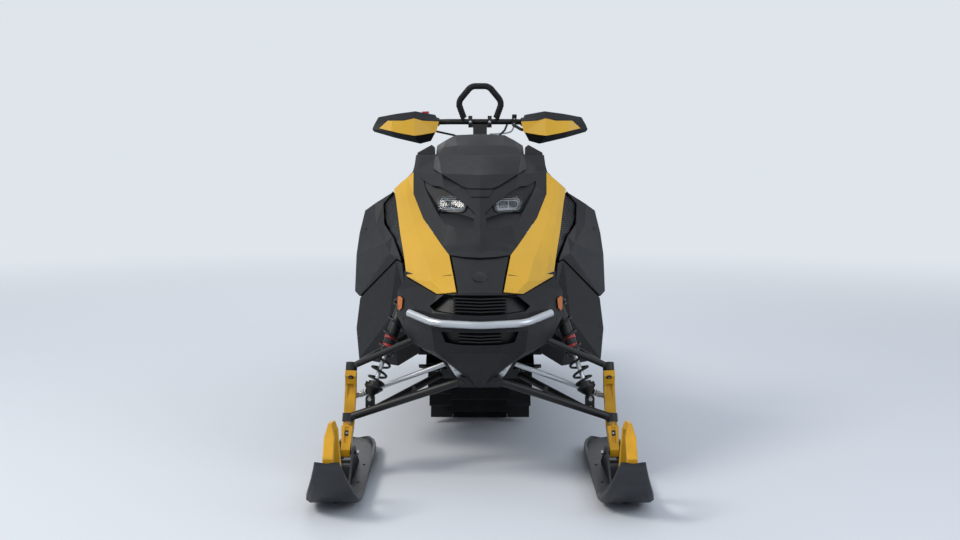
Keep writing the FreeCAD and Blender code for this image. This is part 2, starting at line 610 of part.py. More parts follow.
def track_loop():
    """The band's inner line as (behind tip, height) corners, from under the rear idler forward
    along the ground, round the drive sprocket and back over the carrier wheel. The rear idler's
    place follows from the loop's length."""
    ground = LUG_HEIGHT + TRACK_BAND
    ds, dz = DRIVE_AXLE
    cs, cz = CARRIER_WHEEL
    bend_s = RAIL_BEND[0]

    def arc(s, z, radius, start, end):
        steps = max(2, int(abs(end - start) * radius / (TRACK_PITCH / TRACK_STEPS)))
        return [(s + radius * math.cos(start + (end - start) * k / steps),
                 z + radius * math.sin(start + (end - start) * k / steps)) for k in range(steps + 1)]

    def upper_normal(s1, z1, r1, s2, z2, r2):
        turn = math.atan2(z2 - z1, s2 - s1)
        return turn + math.acos((r1 - r2) / math.hypot(s2 - s1, z2 - z1))

    def corners(rear_s):
        rz = ground + REAR_IDLER_RADIUS
        reach = math.hypot(bend_s - ds, dz - ground)
        climb = math.atan2(dz - ground, bend_s - ds) - math.asin(SPROCKET_RADIUS / reach)
        first = upper_normal(ds, dz, SPROCKET_RADIUS, cs, cz, CARRIER_RADIUS)
        second = upper_normal(cs, cz, CARRIER_RADIUS, rear_s, rz, REAR_IDLER_RADIUS)
        points = [(rear_s, ground), (bend_s, ground)]
        points += arc(ds, dz, SPROCKET_RADIUS, 3 * math.pi / 2 - climb, first)
        points += arc(cs, cz, CARRIER_RADIUS, first, second)
        points += arc(rear_s, rz, REAR_IDLER_RADIUS, second, -math.pi / 2)
        return points

    low, high = bend_s + 100, bend_s + 2500
    for _ in range(50):
        rear_s = (low + high) / 2
        points = corners(rear_s)
        if sum(math.dist(p, q) for p, q in zip(points, points[1:])) > TRACK_PITCH * TRACK_PITCHES:
            high = rear_s
        else:
            low = rear_s
    return points, rear_s


TRACK_STEPS = 3
track_corners, rear_axle_s = track_loop()
rear_axle_z = LUG_HEIGHT + TRACK_BAND + REAR_IDLER_RADIUS


def on_loop(distance):
    """A place on the band's inner line, with the forward direction and the outward one."""
    lengths = [math.dist(p, q) for p, q in zip(track_corners, track_corners[1:])]
    whole = sum(lengths)
    left = distance % whole
    n = 0
    while left > lengths[n]:
        left -= lengths[n]
        n += 1
    (s0, z0), (s1, z1) = track_corners[n], track_corners[n + 1]
    ts, tz = (s1 - s0) / lengths[n], (z1 - z0) / lengths[n]
    return s0 + ts * left, z0 + tz * left, ts, tz, -tz, ts


def band_inner():
    """The band's inner line as flats, a few to each pitch."""
    return [on_loop(k * TRACK_PITCH / TRACK_STEPS)[:2] for k in range(TRACK_PITCHES * TRACK_STEPS)]


def inside_band(s, z):
    """The largest wheel on this axle that clears the band's flats."""
    flats = band_inner()
    nearest = []
    for (s0, z0), (s1, z1) in zip(flats, flats[1:] + flats[:1]):
        length = math.hypot(s1 - s0, z1 - z0)
        along_flat = ((s - s0) * (s1 - s0) + (z - z0) * (z1 - z0)) / length
        if -1 < along_flat < length + 1:
            nearest.append(abs((s - s0) * (z1 - z0) - (z - z0) * (s1 - s0)) / length)
    return min(nearest) - 0.1


def track():
    """One closed band with its lugs: a middle strip and two outer strips whose lugs alternate."""
    def place(distance, shift, out):
        s, z, ts, tz, ns, nz = on_loop(distance)
        return s + ts * shift + ns * out, z + tz * shift + nz * out

    def outline(phase):
        points = []
        for k in range(TRACK_PITCHES * TRACK_STEPS):
            d = k * TRACK_PITCH / TRACK_STEPS
            if k % (2 * TRACK_STEPS) == phase:
                points += [place(d, -LUG_ROOT / 2, TRACK_BAND),
                           place(d, -LUG_TIP / 2, TRACK_BAND + LUG_HEIGHT),
                           place(d, LUG_TIP / 2, TRACK_BAND + LUG_HEIGHT),
                           place(d, LUG_ROOT / 2, TRACK_BAND)]
            else:
                points.append(place(d, 0, TRACK_BAND))
        return points

    half = TRACK_WIDTH / 2
    strips = [(-half, -half * 0.56, 0), (-half * 0.56, half * 0.56, TRACK_STEPS), (half * 0.56, half, 0)]
    solids = [side_prism(outline(phase), x0, x1) for x0, x1, phase in strips]
    return solids[0].fuse(solids[1:]).cut(side_prism(band_inner(), -TRACK_WIDTH, TRACK_WIDTH))


def wheel(s, z, x, radius, width, bore):
    """An idler: a rim, a web with five windows and a boss on its axle."""
    def disc(r, w):
        return centred_rod(at(x, s, z), V(1, 0, 0), r, w)

    solid = disc(radius, width).cut(disc(radius - 14, width + 2)).fuse(disc(radius - 12, 8))
    for k in range(5):
        angle = 2 * math.pi * k / 5
        hole = at(x, s + radius * 0.52 * math.cos(angle), z + radius * 0.52 * math.sin(angle))
        solid = solid.cut(centred_rod(hole, V(1, 0, 0), radius * 0.17, 20))
    return solid.fuse(disc(bore + 8, width)).cut(disc(bore, width + 2))


IDLER_AXLE = 9.0


def idler_wheels():
    ground = LUG_HEIGHT + TRACK_BAND
    rear = inside_band(rear_axle_s, rear_axle_z)
    solids = []
    for side in (1, -1):
        solids += [wheel(rear_axle_s, rear_axle_z, side * x, rear, 26, IDLER_AXLE) for x in (56, 160)]
        solids += [wheel(s, ground + BOGIE_RADIUS, side * 150, BOGIE_RADIUS - 0.2, 24, IDLER_AXLE)
                   for s in BOGIES]
        solids.append(wheel(*CARRIER_WHEEL, side * 80, inside_band(*CARRIER_WHEEL), 24, 15))
    return Part.makeCompound(solids)


def slide_rails():
    """Two rails with their wear strips, and the axles of the wheels that ride on them."""
    ground = LUG_HEIGHT + TRACK_BAND
    bend_s = RAIL_BEND[0]
    tip_s = bend_s - 110
    side = [(bend_s + 28, ground), (bend_s - 10, ground + 11), (tip_s, ground + 62), (tip_s, ground + 84), (bend_s - 60, ground + 88),
            (bend_s + 70, ground + 66), (rear_axle_s - 150, ground + 66), (rear_axle_s - 50, rear_axle_z + 26),
            (rear_axle_s + 20, rear_axle_z + 24), (rear_axle_s + 34, rear_axle_z), (rear_axle_s, rear_axle_z - 30),
            (rear_axle_s - 60, ground)]
    solids = []
    for x in (RAIL_SPACING / 2, -RAIL_SPACING / 2):
        rail = side_prism(side, x - RAIL_THICKNESS / 2, x + RAIL_THICKNESS / 2)
        for k in range(7):
            s = bend_s + 110 + k * 140
            rail = rail.cut(side_prism([(s, ground + 26), (s + 84, ground + 26), (s + 60, ground + 52),
                                        (s + 24, ground + 52)], x - 20, x + 20))
        solids.append(rail)
    axles = [centred_rod(at(0, rear_axle_s, rear_axle_z), V(1, 0, 0), IDLER_AXLE, 350)]
    axles += [centred_rod(at(0, s, ground + BOGIE_RADIUS), V(1, 0, 0), IDLER_AXLE, 336) for s in BOGIES]
    return solids[0].fuse(solids[1:] + axles)


def skid_arms():
    """The two swing arms that hang the rails from the tunnel."""
    w = TUNNEL_HALF_WIDTH - TUNNEL_WALL
    ground = LUG_HEIGHT + TRACK_BAND
    solids = []
    for (s0, z0), s1 in ((SKID_FRONT_ARM_TOP, RAIL_BEND[0] + 60), (CARRIER_WHEEL, 2290.0)):
        solids.append(centred_rod(at(0, s0, z0), V(1, 0, 0), 15, 2 * w))
        z1 = ground + 46
        solids.append(centred_rod(at(0, s1, z1), V(1, 0, 0), 11, RAIL_SPACING - RAIL_THICKNESS))
        for x in (-94, 94):
            solids.append(rod(at(x * 1.1 if s0 < 1500 else x * 0.5, s0, z0), at(x, s1, z1), 11))
    return solids[0].fuse(solids[1:])


def skid_shocks(arms):
    """The two coil-over shocks inside the track loop, with eyes bored for the arms' tubes."""
    ground = LUG_HEIGHT + TRACK_BAND
    solids = []
    for low, high, radius in (((0, RAIL_BEND[0] + 60, ground + 46), (0, SKID_FRONT_ARM_TOP[0], SKID_FRONT_ARM_TOP[1]), 30),
                              ((0, 2290.0, ground + 46), (0, CARRIER_WHEEL[0], CARRIER_WHEEL[1]), 32)):
        a, b = at(*low), at(*high)
        solids.append(rod(along(a, b, 0.03), along(a, b, 0.97), 9).fuse([
            centred_rod(a, V(1, 0, 0), 22, 40), centred_rod(b, V(1, 0, 0), 24, 40),
            rod(along(a, b, 0.5), along(a, b, 0.9), 22), rod(along(a, b, 0.1), along(a, b, 0.14), radius),
            rod(along(a, b, 0.64), along(a, b, 0.68), radius),
            coil(along(a, b, 0.13), along(a, b, 0.65), radius - 7, 5, 5, 8)]).cut(arms))
    return Part.makeCompound(solids)


def drive_axle():
    solid = centred_rod(at(0, *DRIVE_AXLE), V(1, 0, 0), 18, 2 * (TUNNEL_HALF_WIDTH - TUNNEL_WALL))
    for x in (-95, 95):
        solid = solid.fuse(wheel(*DRIVE_AXLE, x, inside_band(*DRIVE_AXLE), 30, 17))
    return solid


# Bodywork. Each row runs from the middle outwards, or from the front to the rear.

HOOD = [
    [(0, 560, 772), (58, 567, 775), (105, 590, 781)],
    [(0, 610, 820), (70, 620, 815), (128, 635, 806)],
    [(0, 690, 905), (105, 705, 900), (200, 785, 893)],
    [(0, 755, 985), (125, 790, 985), (240, 905, 975)],
    [(0, 815, 1040), (135, 850, 1045), (242, 965, 1052)],
    [(0, 950, 1108), (150, 965, 1112), (235, 1010, 1113)],
]
HOOD_SIDE = [
    [(242, 965, 1052), (278, 962, 1022), (314, 960, 990)],
    [(240, 905, 975), (275, 900, 955), (303, 905, 948)],
    [(200, 785, 893), (245, 770, 870), (282, 760, 850)],
    [(128, 635, 806), (200, 650, 790), (262, 660, 765)],
    [(105, 590, 781), (185, 600, 765), (255, 625, 725)],
    [(88, 490, 712), (160, 510, 700), (250, 603, 706)],
    [(79, 432, 672), (112, 448, 666), (144, 470, 660)],
]
NOSE = [
    [(0, 432, 668), (82, 437, 666), (144, 470, 657), (200, 535, 672), (250, 600, 690)],
    [(0, 395, 600), (90, 402, 600), (160, 440, 600), (215, 520, 600), (262, 640, 600)],
    [(0, 385, 545), (90, 392, 545), (160, 430, 545), (215, 510, 545), (255, 630, 545)],
    [(0, 400, 470), (85, 408, 470), (150, 450, 470), (200, 530, 470), (235, 640, 470)],
    [(0, 450, 400), (60, 458, 400), (110, 480, 400), (150, 560, 400), (180, 650, 400)],
    [(0, 510, 345), (25, 515, 345), (50, 540, 345), (70, 580, 345), (84, 610, 345)],
]
NOSE_BRIDGE = [
    [(0, 557, 767), (52, 563, 770), (98, 586, 776)],
    [(0, 492, 716), (44, 493, 714), (82, 497, 712)],
    [(0, 432, 668), (41, 434, 667), (73, 436, 666)],
]
UPPER_GRILLE = [(-158, 645), (158, 645), (148, 604), (105, 580), (-105, 580), (-148, 604)]
LOWER_GRILLE = [(-108, 536), (108, 536), (96, 476), (-96, 476)]
LAMP = [(52, 928), (60, 958), (118, 966), (150, 956), (146, 924), (118, 908), (70, 906)]
WINDSHIELD = [
    [(0, 962, 1100), (80, 968, 1101), (130, 982, 1102), (158, 1004, 1103)],
    [(0, 1040, 1148), (82, 1044, 1148), (134, 1048, 1140), (160, 1052, 1124)],
    [(0, 1130, 1190), (82, 1125, 1188), (135, 1112, 1165), (158, 1100, 1140)],
]
CONSOLE = [
    [(0, 955, 1104), (150, 970, 1107), (232, 1014, 1107), (312, 968, 986)],
    [(0, 1180, 1085), (150, 1180, 1080), (225, 1180, 1060), (300, 1180, 960)],
    [(0, 1300, 1040), (130, 1300, 1030), (200, 1300, 1000), (262, 1300, 935)],
    [(0, 1398, 985), (105, 1398, 975), (165, 1398, 940), (215, 1398, 912)],
]
SIDE_PANEL = [
    [(318, 972, 982), (322, 1040, 976), (314, 1085, 970), (292, 1230, 946), (221, 1400, 909), (172, 1490, 884)],
    [(372, 1030, 940), (395, 1045, 935), (430, 1085, 905), (400, 1230, 900), (262, 1400, 895), (205, 1490, 870)],
    [(352, 975, 862), (385, 1000, 850), (452, 1090, 820), (430, 1240, 800), (300, 1400, 790), (228, 1490, 780)],
    [(316, 880, 822), (343, 905, 796), (465, 1100, 740), (450, 1250, 700), (320, 1400, 690), (236, 1490, 680)],
    [(285, 800, 755), (325, 880, 762), (472, 1100, 600), (458, 1250, 600), (330, 1400, 620), (240, 1490, 640)],
    [(281, 806, 738), (300, 858, 743), (452, 1070, 584), (455, 1250, 560), (335, 1400, 580), (242, 1490, 610)],
]
FOOTWELL = [
    [(278, 812, 732), (300, 864, 737), (450, 1074, 578), (452, 1180, 566), (452, 1250, 555)],
    [(262, 850, 560), (330, 905, 520), (466, 1085, 460), (468, 1180, 450), (468, 1250, 440)],
    [(215, 885, 400), (300, 915, 345), (452, 1030, 352), (456, 1180, 362), (456, 1300, 372)],
]


def rows_of(table):
    return [[at(*point) for point in row] for row in table]


def full_rows(table):
    return [both_sides(row) for row in rows_of(table)]


def layer(rows, near, far, inward_sign):
    """What lies between two depths behind a panel's outer face."""
    return panel(rows, far, inward_sign).cut(panel(rows, near, inward_sign))


# carrier, panel it is seated on, a place on the outer shut line, the way in from there
CLIPS = [
    ("console", "hood", (148, 968, 1108), (0, 0.1, -1)),
    ("hood_sides", "nose_panel", (112, 451, 664), (-0.3, 0.85, -0.3)),
    ("hood_sides", "hood", (164, 714, 849), (-0.4, 0.6, -0.7)),
    ("hood_sides", "hood", (242, 935, 1013), (-0.4, 0.5, -0.75)),
    ("side_panels", "console", (301, 1180, 960), (-0.6, 0, -0.8)),
    ("side_panels", "footwells", (457, 1180, 567), (-1, 0, 0)),
    ("side_panels", "footwells", (372, 958, 664), (-0.8, 0.6, 0)),
]


def clip_panels(pieces):
    """Studs that hold each pair of panels together, just under the skin at their shut line."""
    for carrier, seat, place, way in CLIPS:
        start, inward = at(*place), V(*way)
        inward.normalize()
        stud = rod(start + inward * 2.5, start + inward * 15, 8)
        pieces[carrier] = pieces[carrier].fuse(pair(stud).Solids).cut(pieces[seat])


def hood():
    """The black upper hood, open for the two lamps."""
    solid = panel(full_rows(HOOD), PANEL_WALL, -1)
    lamp = front_prism(LAMP, 600, 900)
    return solid.cut(lamp).cut(right_of(lamp))


def headlights():
    rows = full_rows(HOOD)
    blank = layer(rows, PANEL_WALL, 42, -1).common(front_prism(grown(LAMP, 9), 600, 900))
    ca = sum(a for a, _ in LAMP) / len(LAMP)
    cb = sum(b for _, b in LAMP) / len(LAMP)
    for x in (ca - 30, ca, ca + 30):
        blank = blank.cut(rod(at(x, 650, cb - 40), at(x, 742 + (x - 60) * 0.35, cb), 13))
    return Part.makeCompound([blank, right_of(blank)])


def hood_side():
    """The yellow panel between the hood and the side panel."""
    rows = rows_of(HOOD_SIDE)
    for row in rows:
        row[0] = row[0] + V(SHUT_LINE, 0, 0)
    return panel(rows, PANEL_WALL, 1)


def arm_notches():
    """The room that the bodywork leaves round the arms' tubes and sleeves."""
    room = [rod(upper_ball, at(*UPPER_ARM_FRONT_PIVOT), UPPER_ARM_TUBE_RADIUS + 8),
            rod(upper_ball, at(*UPPER_ARM_REAR_PIVOT), UPPER_ARM_TUBE_RADIUS + 8),
            rod(lower_ball, at(*LOWER_ARM_FRONT_PIVOT), LOWER_ARM_TUBE_RADIUS + 6),
            centred_rod(at(*LOWER_ARM_FRONT_PIVOT), V(0, 1, 0), ARM_SLEEVE_RADIUS + 5, ARM_SLEEVE_LENGTH + 24)]
    return pair(room[0].fuse(room[1:]))


def nose_panel(bulkhead):
    """The black nose round both grilles, down to its point under the bulkhead."""
    solid = panel(full_rows(NOSE), PANEL_WALL, 1)
    solid = solid.fuse(panel(full_rows(NOSE_BRIDGE), PANEL_WALL, 1))
    solid = solid.cut(front_prism(UPPER_GRILLE, 300, 700)).cut(front_prism(LOWER_GRILLE, 300, 700))
    return solid.cut(bulkhead).cut(arm_notches())


def grilles():
    """Slats behind the two openings of the nose, on a frame that sits on its inner face."""
    blank = layer(full_rows(NOSE), PANEL_WALL, 20, 1)
    solids = []
    for outline, slant in ((UPPER_GRILLE, 26), (LOWER_GRILLE, 14)):
        rim = front_prism(grown(outline, 12), 300, 700).cut(front_prism(grown(outline, -3), 290, 710))
        solids.append(blank.common(rim))
        low, high = min(z for _, z in outline), max(z for _, z in outline)
        reach = max(x for x, _ in outline)
        bars = [[(-reach, (low + high) / 2 - 4), (reach, (low + high) / 2 - 4),
                 (reach, (low + high) / 2 + 4), (-reach, (low + high) / 2 + 4)]]
        for k in range(-3, 4):
            x = k * reach / 3.5
            lean = slant if k > 0 else -slant if k < 0 else 0
            bars.append([(x - 4, low - 4), (x + 4, low - 4), (x + 4 + lean, high + 4), (x - 4 + lean, high + 4)])
        inside = front_prism(outline, 300, 700)
        for bar in bars:
            solids.append(blank.common(front_prism(bar, 300, 700)).common(inside))
    return solids[0].fuse(solids[1:])


def front_bumper(seat_on):
    tube = bent_rod([at(-240, 480, 600), at(-153, 390, 561), at(0, 370, 556), at(153, 390, 561),
                     at(240, 480, 600)], 13)
    mounts = [rod(at(x, 372, 556), at(x, 420, 556), 9) for x in (-70, 70)]
    mounts += [rod(at(side * 238, 480, 598), at(side * 232, 560, 590), 9) for side in (1, -1)]
    inside = panel(full_rows(NOSE), 60, 1)
    return tube.fuse(mounts).cut(inside).cut(seat_on)


def reflector():
    """A side reflector on the edge of the nose."""
    outline = [(632, 592), (632, 632), (644, 638), (656, 630), (656, 596), (644, 588)]
    return side_prism(outline, 252, 274)


def windshield(hood_solid):
    """The low visor that stands on the console's front edge."""
    return panel(full_rows(WINDSHIELD), 4, -1).cut(panel(full_rows(CONSOLE), 40, -1)).cut(hood_solid)


def side_panel():
    return panel(rows_of(SIDE_PANEL), PANEL_WALL, -1)


def footwell():
    """The lower side panel and the toe box wall that ties it to the tunnel."""
    solid = panel(rows_of(FOOTWELL), PANEL_WALL, -1)
    wall = plan_prism([(TUNNEL_HALF_WIDTH, 1060), (458, 1060), (458, 1066), (TUNNEL_HALF_WIDTH, 1066)], 352, 566)
    outside = panel(rows_of(FOOTWELL), 60, 1)
    return solid.fuse(wall.cut(outside)).cut(arm_notches())


def belly_pan(bulkhead):
    """The flat pan under the bulkhead and the engine bay."""
    half = [(60, 600), (84, 640), (84, 872), (150, 895), (228, 1000), (228, 1020)]
    outline = half + [(-x, s) for x, s in reversed(half)]
    return plan_prism(outline, 324, 334).cut(bulkhead)


def engine_block():
    """The engine, as a plain block on the bulkhead."""
    return side_prism([(720, 530), (720, 700), (790, 770), (955, 770), (955, 530)], -124, 124)


steering_axis = V(0, math.sin(math.radians(STEERING_LEAN)), math.cos(math.radians(STEERING_LEAN)))
bar_centre = at(0, *BAR_CENTRE)
steering_frame_placement = FreeCAD.Placement(bar_centre, FreeCAD.Rotation(V(0, 0, 1), steering_axis))


def on_post(z):
    """The post's centre at a height."""
    return bar_centre + steering_axis * ((z - bar_centre.z) / steering_axis.z)


def steering_frame():
    """The tubes that hold the post: a bearing under the console and a cup over the tunnel."""
    top, foot = on_post(970), on_post(690)
    foot_s = foot.y + TIPS_TO_ORIGIN
    low, high = foot_s - 34, foot_s + 34
    base = side_prism([(low, tunnel_top(low)), (high, tunnel_top(high)), (high - 8, 684), (low + 8, 684)], -34, 34)
    parts = [centred_rod(top, steering_axis, 28, 44), centred_rod(foot, steering_axis, 26, 44)]
    for side in (1, -1):
        parts.append(rod(at(side * 156, 905, 524), top + V(side * 18, 0, 0), 10))
        parts.append(rod(at(side * 150, 1380, tunnel_top(1380)), top + V(side * 18, 0, 0), 10))
        parts.append(block(min(side * 130, side * 170), max(side * 130, side * 170), 1360, 1398,
                           tunnel_top(1398), tunnel_top(1360) + 8))
    solid = base.fuse(parts)
    solid = solid.cut(side_prism([(1340, tunnel_top(1340) - 40), (1440, tunnel_top(1440) - 40),
                                  (1440, tunnel_top(1440)), (1340, tunnel_top(1340))], -200, 200))
    solid = solid.cut(block(-170, 170, 800, 940, 500, 530))
    return solid.cut(rod(on_post(696), on_post(1060), POST_RADIUS + PIN_CLEARANCE))


def steering_post():
    post = rod(on_post(697), on_post(1200), POST_RADIUS)
    riser = Part.makeBox(64, 40, 70, V(-32, -20, -82))
    clamp = Part.makeBox(2 * BAR_CLAMP_HALF, 44, 34, V(-BAR_CLAMP_HALF, -22, -17))
    collar = Part.makeCylinder(26, 30, V(0, 0, -104))
    head = riser.fuse([clamp, collar])
    head.Placement = steering_frame_placement
    solid = post.fuse(head)
    return solid.cut(handlebar())


def handlebar():
    half = BAR_HALF_LENGTH
    c_s, c_z = BAR_CENTRE
    return bent_rod([at(-half, c_s + 42, c_z - 4), at(-120, c_s, c_z), at(120, c_s, c_z), at(half, c_s + 42, c_z - 4)],
                    BAR_RADIUS)


def bar_point(x):
    """The handlebar's centre at a sideways place."""
    c_s, c_z = BAR_CENTRE
    share = max(0.0, (abs(x) - 120) / (BAR_HALF_LENGTH - 120))
    return at(x, c_s + 42 * share, c_z - 4 * share)


def grips():
    solids = []
    for side in (1, -1):
        a, b = bar_point(side * (BAR_HALF_LENGTH - GRIP_LENGTH)), bar_point(side * BAR_HALF_LENGTH)
        inner = along(a, b, 0.06)
        solids.append(rod(a, b, GRIP_RADIUS).fuse([rod(a, inner, GRIP_RADIUS + 5),
                                                   rod(b, along(a, b, 1.03), GRIP_RADIUS + 2)]))
    return Part.makeCompound(solids).cut(handlebar())


# A guard's rows from top to bottom; the first column is measured from the bar's end.
GUARD = [
    [(-196, 1372, 1266), (-132, 1362, 1274), (-42, 1358, 1270), (20, 1372, 1254)],
    [(-206, 1336, 1262), (-132, 1320, 1270), (-40, 1312, 1266), (30, 1330, 1246)],
    [(-210, 1330, 1225), (-132, 1306, 1228), (-37, 1296, 1222), (46, 1318, 1208)],
    [(-194, 1340, 1176), (-122, 1322, 1160), (-32, 1315, 1154), (32, 1334, 1168)],
]
GUARD_COVER = [(-208, 1246), (-136, 1256), (-86, 1258), (-26, 1252), (12, 1220), (-72, 1196), (-172, 1198), (-206, 1206)]


def guard_rows():
    return [[at(BAR_HALF_LENGTH + x, s, z) for x, s, z in row] for row in GUARD]


def handguard():
    """The wind guard, on an arm from a clamp inside the grip and a peg in the bar's end."""
    solid = panel(guard_rows(), 5, 1)
    end, clamp = BAR_HALF_LENGTH, bar_point(GUARD_CLAMP_PLACE)
    inner = rod(at(end - 194, 1325, 1224), clamp, 8)
    inner = inner.fuse(centred_rod(clamp, V(1, 0, 0), 17, 2 * GUARD_CLAMP_HALF))
    outer = rod(at(end + 24, 1322, 1214), bar_point(end - 2) + V(14, 0, 0), 8)
    outer = outer.fuse(rod(bar_point(end + 5), bar_point(end - 2) + V(18, 0, 0), 9))
    outside = panel(guard_rows(), 30, -1)
    solid = solid.fuse([inner, outer])
    solid = solid.cut(outside)
    return solid


def guard_cover():
    outline = [(BAR_HALF_LENGTH + x, z) for x, z in GUARD_COVER]
    return panel(guard_rows(), 4, -1).common(front_prism(outline, 1200, 1345))


def grab_loop():
    c_s, c_z = BAR_CENTRE
    tube = bent_rod([at(-BAR_CLAMP_HALF, c_s - 2, c_z + 4), at(-86, c_s - 14, c_z + 76), at(-34, c_s - 26, c_z + 138),
                     at(34, c_s - 26, c_z + 138), at(86, c_s - 14, c_z + 76),
                     at(BAR_CLAMP_HALF, c_s - 2, c_z + 4)], LOOP_RADIUS)
    return tube


def hand_controls():
    """The brake's reservoir and lever on the left, the switch block and throttle on the right."""
    left, right = bar_point(BRAKE_PLACE), bar_point(-THROTTLE_PLACE)
    left_box = Part.makeBox(54, 40, 34, V(left.x - 27, left.y - 24, left.z - 10))
    tank = Part.makeBox(54, 44, 20, V(left.x - 27, left.y - 46, left.z + 20))
    lever = bent_rod([V(left.x, left.y - 20, left.z - 4), V(left.x + 46, left.y - 46, left.z - 32),
                      V(BAR_HALF_LENGTH - 84, left.y - 44, left.z - 20)], 6)
    right_box = Part.makeBox(52, 42, 40, V(right.x - 26, right.y - 22, right.z - 18))
    throttle = bent_rod([V(right.x, right.y + 14, right.z - 8), V(right.x - 30, right.y + 40, right.z - 8),
                         V(right.x - 60, right.y + 36, right.z - 6)], 5)
    return Part.makeCompound([left_box.fuse([tank, lever]), right_box.fuse(throttle)])


def stop_switch():
    """The red mushroom button on the right-hand switch block."""
    right = bar_point(-THROTTLE_PLACE)
    return Part.makeCylinder(8, 12, V(right.x, right.y, right.z + 22)).fuse(
        Part.makeCylinder(14, 8, V(right.x, right.y, right.z + 34)))


def console(hole):
    solid = panel(full_rows(CONSOLE), PANEL_WALL, -1)
    return solid.cut(hole)


def display(seat_on):
    face = side_prism([(1120, 1060), (1120, 1122), (1200, 1106), (1200, 1060)], -72, 72)
    return face.cut(panel(full_rows(CONSOLE), 80, -1)).cut(seat_on)


TANK = [(1402, 978, 98, 930, 160, 205), (1450, 945, 96, 900, 158, 196), (1530, 885, 88, 850, 138, 160),
        (1600, 852, 80, 812, 122, 138)]
SEAT = [(1604, 864, 84, 800, 116, 132), (1750, 818, 102, 760, 132, 138), (1900, 812, 118, 770, 140, 140),
        (2060, 830, 122, 790, 138, 138), (2150, 806, 104, 750, 126, 132), (2170, 770, 90, 720, 112, 126)]


def lofted_block(table):
    """A body on the tunnel's top through (behind tip, top, half top, shoulder height, half
    shoulder, half bottom)."""
    sections = []
    for s, top, half_top, shoulder, half_shoulder, half_bottom in table:
        base = tunnel_top(s)
        half = [(half_top * 0.5, top), (half_top, top - 12), (half_shoulder, shoulder),
                (half_bottom, base + 60), (half_bottom - 8, base)]
        outline = half + [(-x, z) for x, z in reversed(half)]
        sections.append([at(x, s, z) for x, z in outline])
    return skinned(sections)


def fuel_tank():
    cap = rod(at(0, 1470, 900), at(0, 1478, 952), 42)
    return lofted_block(TANK).fuse(cap)


def control_cables():
    """The sheathed cables from the hand controls, clipped to the bar and the post."""
    left, right = bar_point(BRAKE_PLACE), bar_point(-THROTTLE_PLACE)
    low = on_post(1130)
    return Part.makeCompound([
        bent_rod([V(left.x - 8, left.y - 8, left.z - 6), V(left.x - 20, left.y - 30, left.z - 34),
                  V(40, low.y - 26, low.z + 20), V(20, low.y - 12, low.z)], 4),
        bent_rod([V(right.x + 8, right.y, right.z - 14), V(right.x + 30, right.y - 20, right.z - 34),
                  V(-100, right.y - 26, right.z - 52), V(-40, low.y - 26, low.z + 20),
                  V(-20, low.y - 12, low.z)], 4)])


def main():
    os.makedirs("parts", exist_ok=True)
    pieces = {}
    ski, leg, rod_solid = ski_body(), spindle(), tie_rod()
    handle = ski_handle(ski)
    for name, solid in (("ski", ski), ("ski_handle", handle), ("spindle", leg), ("tie_rod", rod_solid)):
        pieces[name + "_left"] = solid
        pieces[name + "_right"] = right_of(solid)
    pieces["lower_arms"] = pair(lower_arm())
    pieces["upper_arms"] = pair(upper_arm())
    pieces["ski_shocks"] = pair(ski_shock(at(*SHOCK_LOWER), at(*SHOCK_UPPER), SPRING_RADIUS, SPRING_WIRE,
                                          SPRING_TURNS))
    pieces["front_bulkhead"] = front_bulkhead()
    pieces["shock_towers"] = shock_towers()
    pieces["pitman_arm"] = pitman_arm()
    pieces["tunnel"] = tunnel()
    pieces["running_boards"] = pair(running_board())
    pieces["rear_bumper"] = rear_bumper(pieces["tunnel"])
    pieces["snow_flap"] = snow_flap()
    pieces["tail_light"] = tail_light()
    pieces["track"] = track()
    pieces["drive_axle"] = drive_axle()
    pieces["idler_wheels"] = idler_wheels()
    pieces["slide_rails"] = slide_rails()
    pieces["skid_arms"] = skid_arms()
    pieces["skid_shocks"] = skid_shocks(pieces["skid_arms"])
    pieces["hood"] = hood()
    pieces["headlights"] = headlights()
    pieces["hood_sides"] = pair(hood_side())
    castings = pieces["front_bulkhead"].fuse(pieces["shock_towers"])
    pieces["nose_panel"] = nose_panel(castings)
    pieces["grilles"] = grilles()
    pieces["front_bumper"] = front_bumper(pieces["nose_panel"])
    pieces["reflectors"] = pair(reflector()).cut(pieces["nose_panel"])
    hole = rod(on_post(960), on_post(1120), 36)
    pieces["console"] = console(hole)
    pieces["windshield"] = windshield(pieces["hood"])
    pieces["side_panels"] = pair(side_panel())
    pieces["footwells"] = pair(footwell())
    pieces["belly_pan"] = belly_pan(castings)
    pieces["engine_block"] = engine_block()
    pieces["steering_frame"] = steering_frame().cut(pieces["tunnel"])
    pieces["display"] = display(pieces["console"])
    pieces["fuel_tank"] = fuel_tank()
    pieces["seat"] = lofted_block(SEAT)
    clip_panels(pieces)
    pieces["steering_post"] = steering_post()
    pieces["handlebar"] = handlebar()
    pieces["grips"] = grips()
    pieces["handguards"] = pair(handguard()).cut(pieces["handlebar"].fuse(pieces["grips"]))
    pieces["guard_covers"] = pair(guard_cover())
    pieces["grab_loop"] = grab_loop().cut(pieces["handlebar"]).cut(pieces["steering_post"])
    pieces["hand_controls"] = hand_controls().cut(pieces["handlebar"])
    pieces["stop_switch"] = stop_switch()
    pieces["control_cables"] = control_cables().cut(pieces["handlebar"].fuse(pieces["hand_controls"]))
    for name, solid in pieces.items():
        box = solid.BoundBox
        print(name, solid.isValid(), round(solid.Volume / 1e6, 3), "L", len(solid.Solids), "solids",
              [round(v) for v in (box.XMin, box.XMax, box.YMin + TIPS_TO_ORIGIN, box.YMax + TIPS_TO_ORIGIN,
                                  box.ZMin, box.ZMax)])
        solid.exportStep("parts/" + name + ".step")


main()
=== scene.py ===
"""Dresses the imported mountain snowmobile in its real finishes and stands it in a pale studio."""

